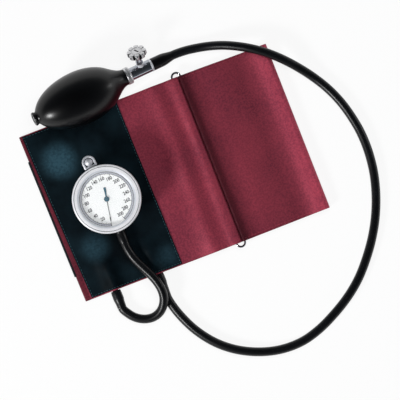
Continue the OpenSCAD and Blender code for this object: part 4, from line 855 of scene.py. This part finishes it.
points, faces = [], []
for mmhg in range(20, FULL_SCALE + 1, 20):
    text = bpy.data.curves.new("number", "FONT")
    text.body, text.size, text.extrude, text.offset = str(mmhg), NUMBER_SIZE, 0.02, 0.13
    text.align_x = text.align_y = "CENTER"
    text.resolution_u = 3
    holder = put("number", text)
    flat = final_mesh(holder)
    at = polar(NUMBER_R, SCALE_START - SPAN * mmhg / FULL_SCALE, DIAL_TOP + 0.01)
    turn = (Matrix.Translation(at) @ Matrix.Rotation(DIAL_TURN, 4, "Z")
            @ Matrix.Diagonal((NUMBER_NARROWED, 1, 1, 1)))
    base = len(points)
    points += [turn @ v.co for v in flat.vertices]
    faces += [tuple(base + i for i in p.vertices) for p in flat.polygons]
    bpy.data.objects.remove(holder)
piece("dial_numbers", points, faces, "print_dark", "dial_enamel", angle=20)

POINTER_Z, HUB_R = 38.4, 2.45


def blade(name, rows, turn, thick, material, **more):
    """A flat blade of the pointer, by rows of (distance from the hub, half width), chamfered above."""
    way, side = [polar(1, a, 0) - polar(0, a, 0) for a in (turn, turn + math.pi / 2)]
    low, top = POINTER_Z, POINTER_Z + thick
    edge = (low + top) / 2
    points = [polar(0, 0, z) + way * r + side * half * k for r, half in rows
              for k, z in ((-1, low), (1, low), (1, edge), (0.55, top), (-0.55, top), (-1, edge))]
    piece(name, points, capped(6, len(rows)), material, "pointer_blue", "pointer", angle=30, **more)


blade("pointer_needle", [
    (1.5, 0.3), (16.2, 0.2), (16.6, 0.5), (19.6, 0.42), (20.4, 0.16), (22.5, 0.08)],
    SCALE_START, 0.35, "print_dark", node=("pointer",))
blade("pointer_tail", [(1.5, 0.5), (9.4, 1.15), (10.3, 1.1), (10.6, 0.8)], SCALE_START + math.pi, 0.4,
      "pointer_teal")
lathe("pointer_hub", [
    (0.85, 0), (HUB_R, 0), (HUB_R, 0.5), (HUB_R - 0.2, 0.75), (1.6, 0.9), (1.5, 1.3), (1.2, 1.5),
    (0.01, 1.55), (0.01, 1.3), (0.85, 1.3)], (GAUGE.x, 0, POINTER_Z), UP, "pointer_teal",
    "pointer_blue", "pointer", sides=48)


# Hanging stud and bow
DIAL_UP = Vector((-math.sin(DIAL_TURN), math.cos(DIAL_TURN), 0))
DIAL_RIGHT = Vector((DIAL_UP.y, -DIAL_UP.x, 0))
BOW_Z, BOW_PIVOT, BOW_R, BOW_WIRE = 17.0, 32.6, 5.05, 2.2
PIN_HALF_LEN, PIN_D = 4.6, 1.6
BOW_CENTRE = BOW_PIVOT + 4.2
DOME_R = 3.45
bow_at = GAUGE + Vector((0, 0, BOW_Z))
pivot_at = bow_at + DIAL_UP * BOW_PIVOT
dome = [(0.01, DOME_R)] + [(DOME_R * math.cos(math.radians(a)), DOME_R * math.sin(math.radians(a)))
                           for a in (78, 66, 54, 44, 36)]
dome += [(2.95, 1.75), (3.1, 1.55), (3.4, 1.35), (DOME_R, 0.9), (DOME_R, -1.0), (3.1, -1.9),
         (2.3, -2.6), (0.01, -2.9)]
lathe("stud_dome", dome, bow_at + BOW_CENTRE * DIAL_UP, UP, "satin_chrome", "case_metal",
      node=("hanging_stud",), sides=64)
lathe("stud_neck", [(0.01, 0), (2.4, 0), (2.4, 2.3), (0.01, 2.3)], bow_at + (CASE_R - 0.05) * DIAL_UP,
      DIAL_UP, "satin_chrome", "case_metal", sides=40)


def wire(name, path, d, sides, node=()):
    """A round wire of the bow along a level path, with rounded ends."""
    ends = [(0.0, 0.06), (0.3, 0.71), (0.7, 0.95)]
    first, last = (path[0] - path[1]).normalized(), (path[-1] - path[-2]).normalized()
    rows = [(path[0] + first * d / 2 * (1 - c), w) for c, w in ends] + [(p, 1.0) for p in path]
    rows += [(path[-1] + last * d / 2 * (1 - c), w) for c, w in reversed(ends)]
    points = []
    for i, (p, w) in enumerate(rows):
        way = (rows[min(i + 1, len(rows) - 1)][0] - rows[max(i - 1, 0)][0]).normalized()
        side = way.cross(UP).normalized()
        points += [p + d / 2 * w * out for _, out in circle(sides, side, side.cross(way))]
    piece(name, points, capped(sides, len(rows)), "satin_chrome", "case_metal", "bow", node)


bow_path = [pivot_at + DIAL_RIGHT * BOW_R]
bow_path += [bow_at + DIAL_UP * (BOW_CENTRE + BOW_R * math.sin(math.radians(a)))
             + DIAL_RIGHT * BOW_R * math.cos(math.radians(a)) for a in range(0, 181, 6)]
bow_path += [pivot_at - DIAL_RIGHT * BOW_R]
wire("bow_wire", bow_path, BOW_WIRE, 24, ("hanging_bow",))
wire("bow_pin", [pivot_at + DIAL_RIGHT * v for v in (-PIN_HALF_LEN, 0, PIN_HALF_LEN)], PIN_D, 16)


# Release valve
COLLAR_R, COLLAR_W, VALVE_R, VALVE_LEN = 8.1, 5.0, 5.85, 21.6
COLLAR_AT = BULB_TAIL + BULB_LEN * AXIS
VALVE_AT = BULB_TAIL + (BULB_LEN + COLLAR_W) * AXIS
COLLAR_BORE_R = 4.62


def knurl(r, h, a):
    """The collar's radius, with fine teeth between its two rims."""
    return r + (0.09 * math.cos(72 * a) if 1.6 < h < 3.6 and r > 7 else 0.0)


lathe("collar_ring", [
    (COLLAR_BORE_R, 0), (7.5, 0), (7.9, 0.3), (COLLAR_R, 0.75), (COLLAR_R, 1.2), (7.84, 1.5),
    (7.82, 1.65), (7.82, 3.5), (7.84, 3.65), (COLLAR_R, 3.9), (COLLAR_R, 4.3), (7.8, 4.75),
    (7.3, COLLAR_W), (COLLAR_BORE_R, COLLAR_W)],
    COLLAR_AT, AXIS, "collar_metal", node=("valve_collar",), sides=432, wobble=knurl)
lathe("valve_tube", [
    (COLLAR_BORE_R, 0), (VALVE_R - 0.3, 0), (VALVE_R, 0.3), (VALVE_R, 19.4), (VALVE_R - 0.25, 19.6),
    (VALVE_R - 0.25, 19.9), (COLLAR_BORE_R, 19.9)],
    VALVE_AT, AXIS, "valve_chrome", node=("valve_body",))
lathe("valve_end_ring", [
    (COLLAR_BORE_R, 19.95), (VALVE_R - 0.1, 19.95), (VALVE_R + 0.2, 20.25), (VALVE_R + 0.2, 21.2),
    (VALVE_R - 0.1, VALVE_LEN), (COLLAR_BORE_R, VALVE_LEN)],
    VALVE_AT, AXIS, "satin_chrome", "valve_chrome")
STEM = Vector((0.078955, 0.750481, 0.656159))
STEM_FOOT = VALVE_AT + VALVE_LEN * 0.52 * AXIS
lathe("valve_boss", [(1.95, 4.7), (3.5, 4.7), (3.5, 7.5), (3.2, 7.8), (1.95, 7.8)], STEM_FOOT, STEM,
      "satin_chrome", "valve_chrome", sides=48)

KNOB_AT, KNOB_T, KNOB_LOBES, LOBE_R, LOBE_RING, KNOB_CORE = 15.2, 7.0, 8, 2.2, 6.75, 5.2
KNOB_BORE_R, KNOB_BORE_H, KNOB_ANGLE = 2.05, 5.0, 35
SLOT_HALF_LEN, SLOT_HALF_W, SLOT_DEPTH = 2.6, 0.65, 1.3
ROUND_TO_R = 5.05
KNOB_ROWS = [(KNOB_BORE_H, 0.0), (KNOB_BORE_H, KNOB_BORE_R), (0.0, KNOB_BORE_R), (0.0, 5.0),
             (0.4, 5.6), (1.9, 7.6), (2.6, 8.6), (3.2, 9.0), (5.7, 9.0), (6.3, 8.86), (6.75, 8.5),
             (KNOB_T, 7.9), (KNOB_T, 5.1), (6.5, 4.9), (6.5, 4.55), (KNOB_T, 4.3), (KNOB_T, 0.0)]


def knob_outline(a):
    """The knob's radius at an angle, with a lobe at each eighth turn."""
    step = 2 * math.pi / KNOB_LOBES
    d = abs((a + step / 2) % step - step / 2)
    reach = LOBE_R ** 2 - (LOBE_RING * math.sin(d)) ** 2
    return max(KNOB_CORE, LOBE_RING * math.cos(d) + math.sqrt(reach) if reach > 0 else 0.0)


def knob():
    """The star knob with its slot. KNOB_ROWS are (height, greatest radius); up to ROUND_TO_R the
    rows are plain circles, and beyond it they follow the lobes."""
    side = STEM.orthogonal().normalized()
    other = STEM.cross(side)
    sides = 18 * KNOB_LOBES
    foot = STEM_FOOT + KNOB_AT * STEM
    points = []
    for h, limit in KNOB_ROWS:
        for a, out in circle(sides, side, other):
            r = min(knob_outline(a), limit) if limit > ROUND_TO_R else limit
            points.append(foot + STEM * h + r * out)
    obj = piece("knob_star", points, rings(sides, len(KNOB_ROWS), False), "knob_nickel", body="knob",
                node=("release_knob",), angle=KNOB_ANGLE)
    box = bpy.data.meshes.new("slot_cutter")
    corners = [foot + STEM * (KNOB_T + z) + side * x * SLOT_HALF_LEN + other * y * SLOT_HALF_W
               for z in (-SLOT_DEPTH, 1) for x, y in ((-1, -1), (1, -1), (1, 1), (-1, 1))]
    box.from_pydata([c * MM for c in corners], [], [(3, 2, 1, 0), (4, 5, 6, 7)] + rings(4, 2, False))
    cutter = put("slot_cutter", box)
    merge = obj.modifiers.new("merge", "WELD")
    merge.merge_threshold = 0.00001
    cut = obj.modifiers.new("cut", "BOOLEAN")
    cut.operation, cut.solver, cut.object = "DIFFERENCE", "EXACT", cutter
    mesh = final_mesh(obj)
    obj.modifiers.clear()
    obj.data = mesh
    bpy.data.objects.remove(cutter)
    mesh.shade_smooth()
    mesh.set_sharp_from_angle(angle=math.radians(KNOB_ANGLE))
    # The lobes' flanks and the slot's floor and walls take a dark finish: painted shade in these
    # recesses
    mesh.materials.append(MATERIAL["notch_painted_shade"])
    for face in mesh.polygons:
        off = face.center / MM - foot
        h = off.dot(STEM)
        r = (off - STEM * h).length
        notch = abs(face.normal.dot(STEM)) < 0.5 and ROUND_TO_R < r < 7.6 and h < KNOB_T
        if notch or (r < 2.9 and 5.5 < h < 6.95):
            face.material_index = 1


knob()


# Floor, world and lamps, in metres
FLOOR_PROFILE = [(7.0, 0.0), (7.8, 0.1), (8.5, 0.4), (8.9, 1.0), (9.0, 1.6), (9.0, 2.3)]
FLOOR_SIDES, FLOOR_WHITE = 48, 0.86
SKY_COLOUR, SKY_LOW, SKY_TOP = (0.85, 0.93, 1, 1), 0.24, 0.03


def floor_material():
    """Pale and dull for the light, nearly white for camera, glossy and transmission rays."""
    t = Tree("floor_white")
    t.shader.inputs["Base Color"].default_value = (0.9, 0.9, 0.9, 1)
    t.shader.inputs["Roughness"].default_value = 0.9
    t.shader.inputs["Specular IOR Level"].default_value = 0.1
    ray = t.add("ShaderNodeLightPath").outputs
    seen = t.maths("MAXIMUM", t.maths("MAXIMUM", ray["Is Camera Ray"], ray["Is Glossy Ray"]),
                   ray["Is Transmission Ray"])
    glow = t.add("ShaderNodeEmission").outputs[0]
    blend = t.add("ShaderNodeMixShader", {
        0: t.maths("MULTIPLY", seen, FLOOR_WHITE), 1: t.shader.outputs[0], 2: glow}).outputs[0]
    t.links.new(blend, t.nodes["Material Output"].inputs["Surface"])
    return t.material


def floor():
    """A pale floor that runs up into walls far away on all sides."""
    points = [Vector()]
    for r, z in FLOOR_PROFILE:
        points += [r * out + z * UP for _, out in circle(FLOOR_SIDES, Vector((1, 0, 0)), UP_Y)]
    faces = [(0, 1 + k, 1 + (k + 1) % FLOOR_SIDES) for k in range(FLOOR_SIDES)]
    for a, b, c, d in rings(FLOOR_SIDES, len(FLOOR_PROFILE), False):
        faces.append((1 + a, 1 + d, 1 + c, 1 + b))
    mesh = bpy.data.meshes.new("floor")
    mesh.from_pydata(points, [], faces)
    mesh.shade_smooth()
    mesh.materials.append(floor_material())
    put("floor", mesh)


floor()
world = bpy.data.worlds.new("studio")
scene.world = world
world.use_nodes = True
sky, wires = world.node_tree.nodes, world.node_tree.links
sky["Background"].inputs["Color"].default_value = SKY_COLOUR
aim = sky.new("ShaderNodeSeparateXYZ")
fade = sky.new("ShaderNodeMapRange")
fade.inputs["To Min"].default_value = SKY_LOW
fade.inputs["To Max"].default_value = SKY_TOP
wires.new(sky.new("ShaderNodeTexCoord").outputs["Generated"], aim.inputs[0])
wires.new(aim.outputs["Z"], fade.inputs["Value"])
wires.new(fade.outputs[0], sky["Background"].inputs["Strength"])


def lamp(name, direction, distance, size, watts, glossy=True):
    """A round area lamp that looks at the cuff from (image right, image up, height)."""
    right, up, high = direction
    way = (VIEW_RIGHT * right - VIEW_BACK * up + UP * high).normalized()
    data = bpy.data.lights.new(name, "AREA")
    data.shape, data.size, data.energy = "DISK", size, watts
    obj = put(name, data)
    obj.visible_glossy = glossy
    obj.location = TARGET + way * distance
    obj.rotation_euler = way.to_track_quat("Z", "Y").to_euler()


lamp("key_left", (-0.6, -0.56, 0.57), 2.0, 0.46, 26.0)
lamp("fill_above", (0.1, 0.2, 1.0), 1.6, 1.0, 15.0, glossy=False)
lamp("kicker_right", (0.88, 0.42, 0.24), 1.1, 0.14, 0.6)

scene.view_settings.view_transform = "Standard"
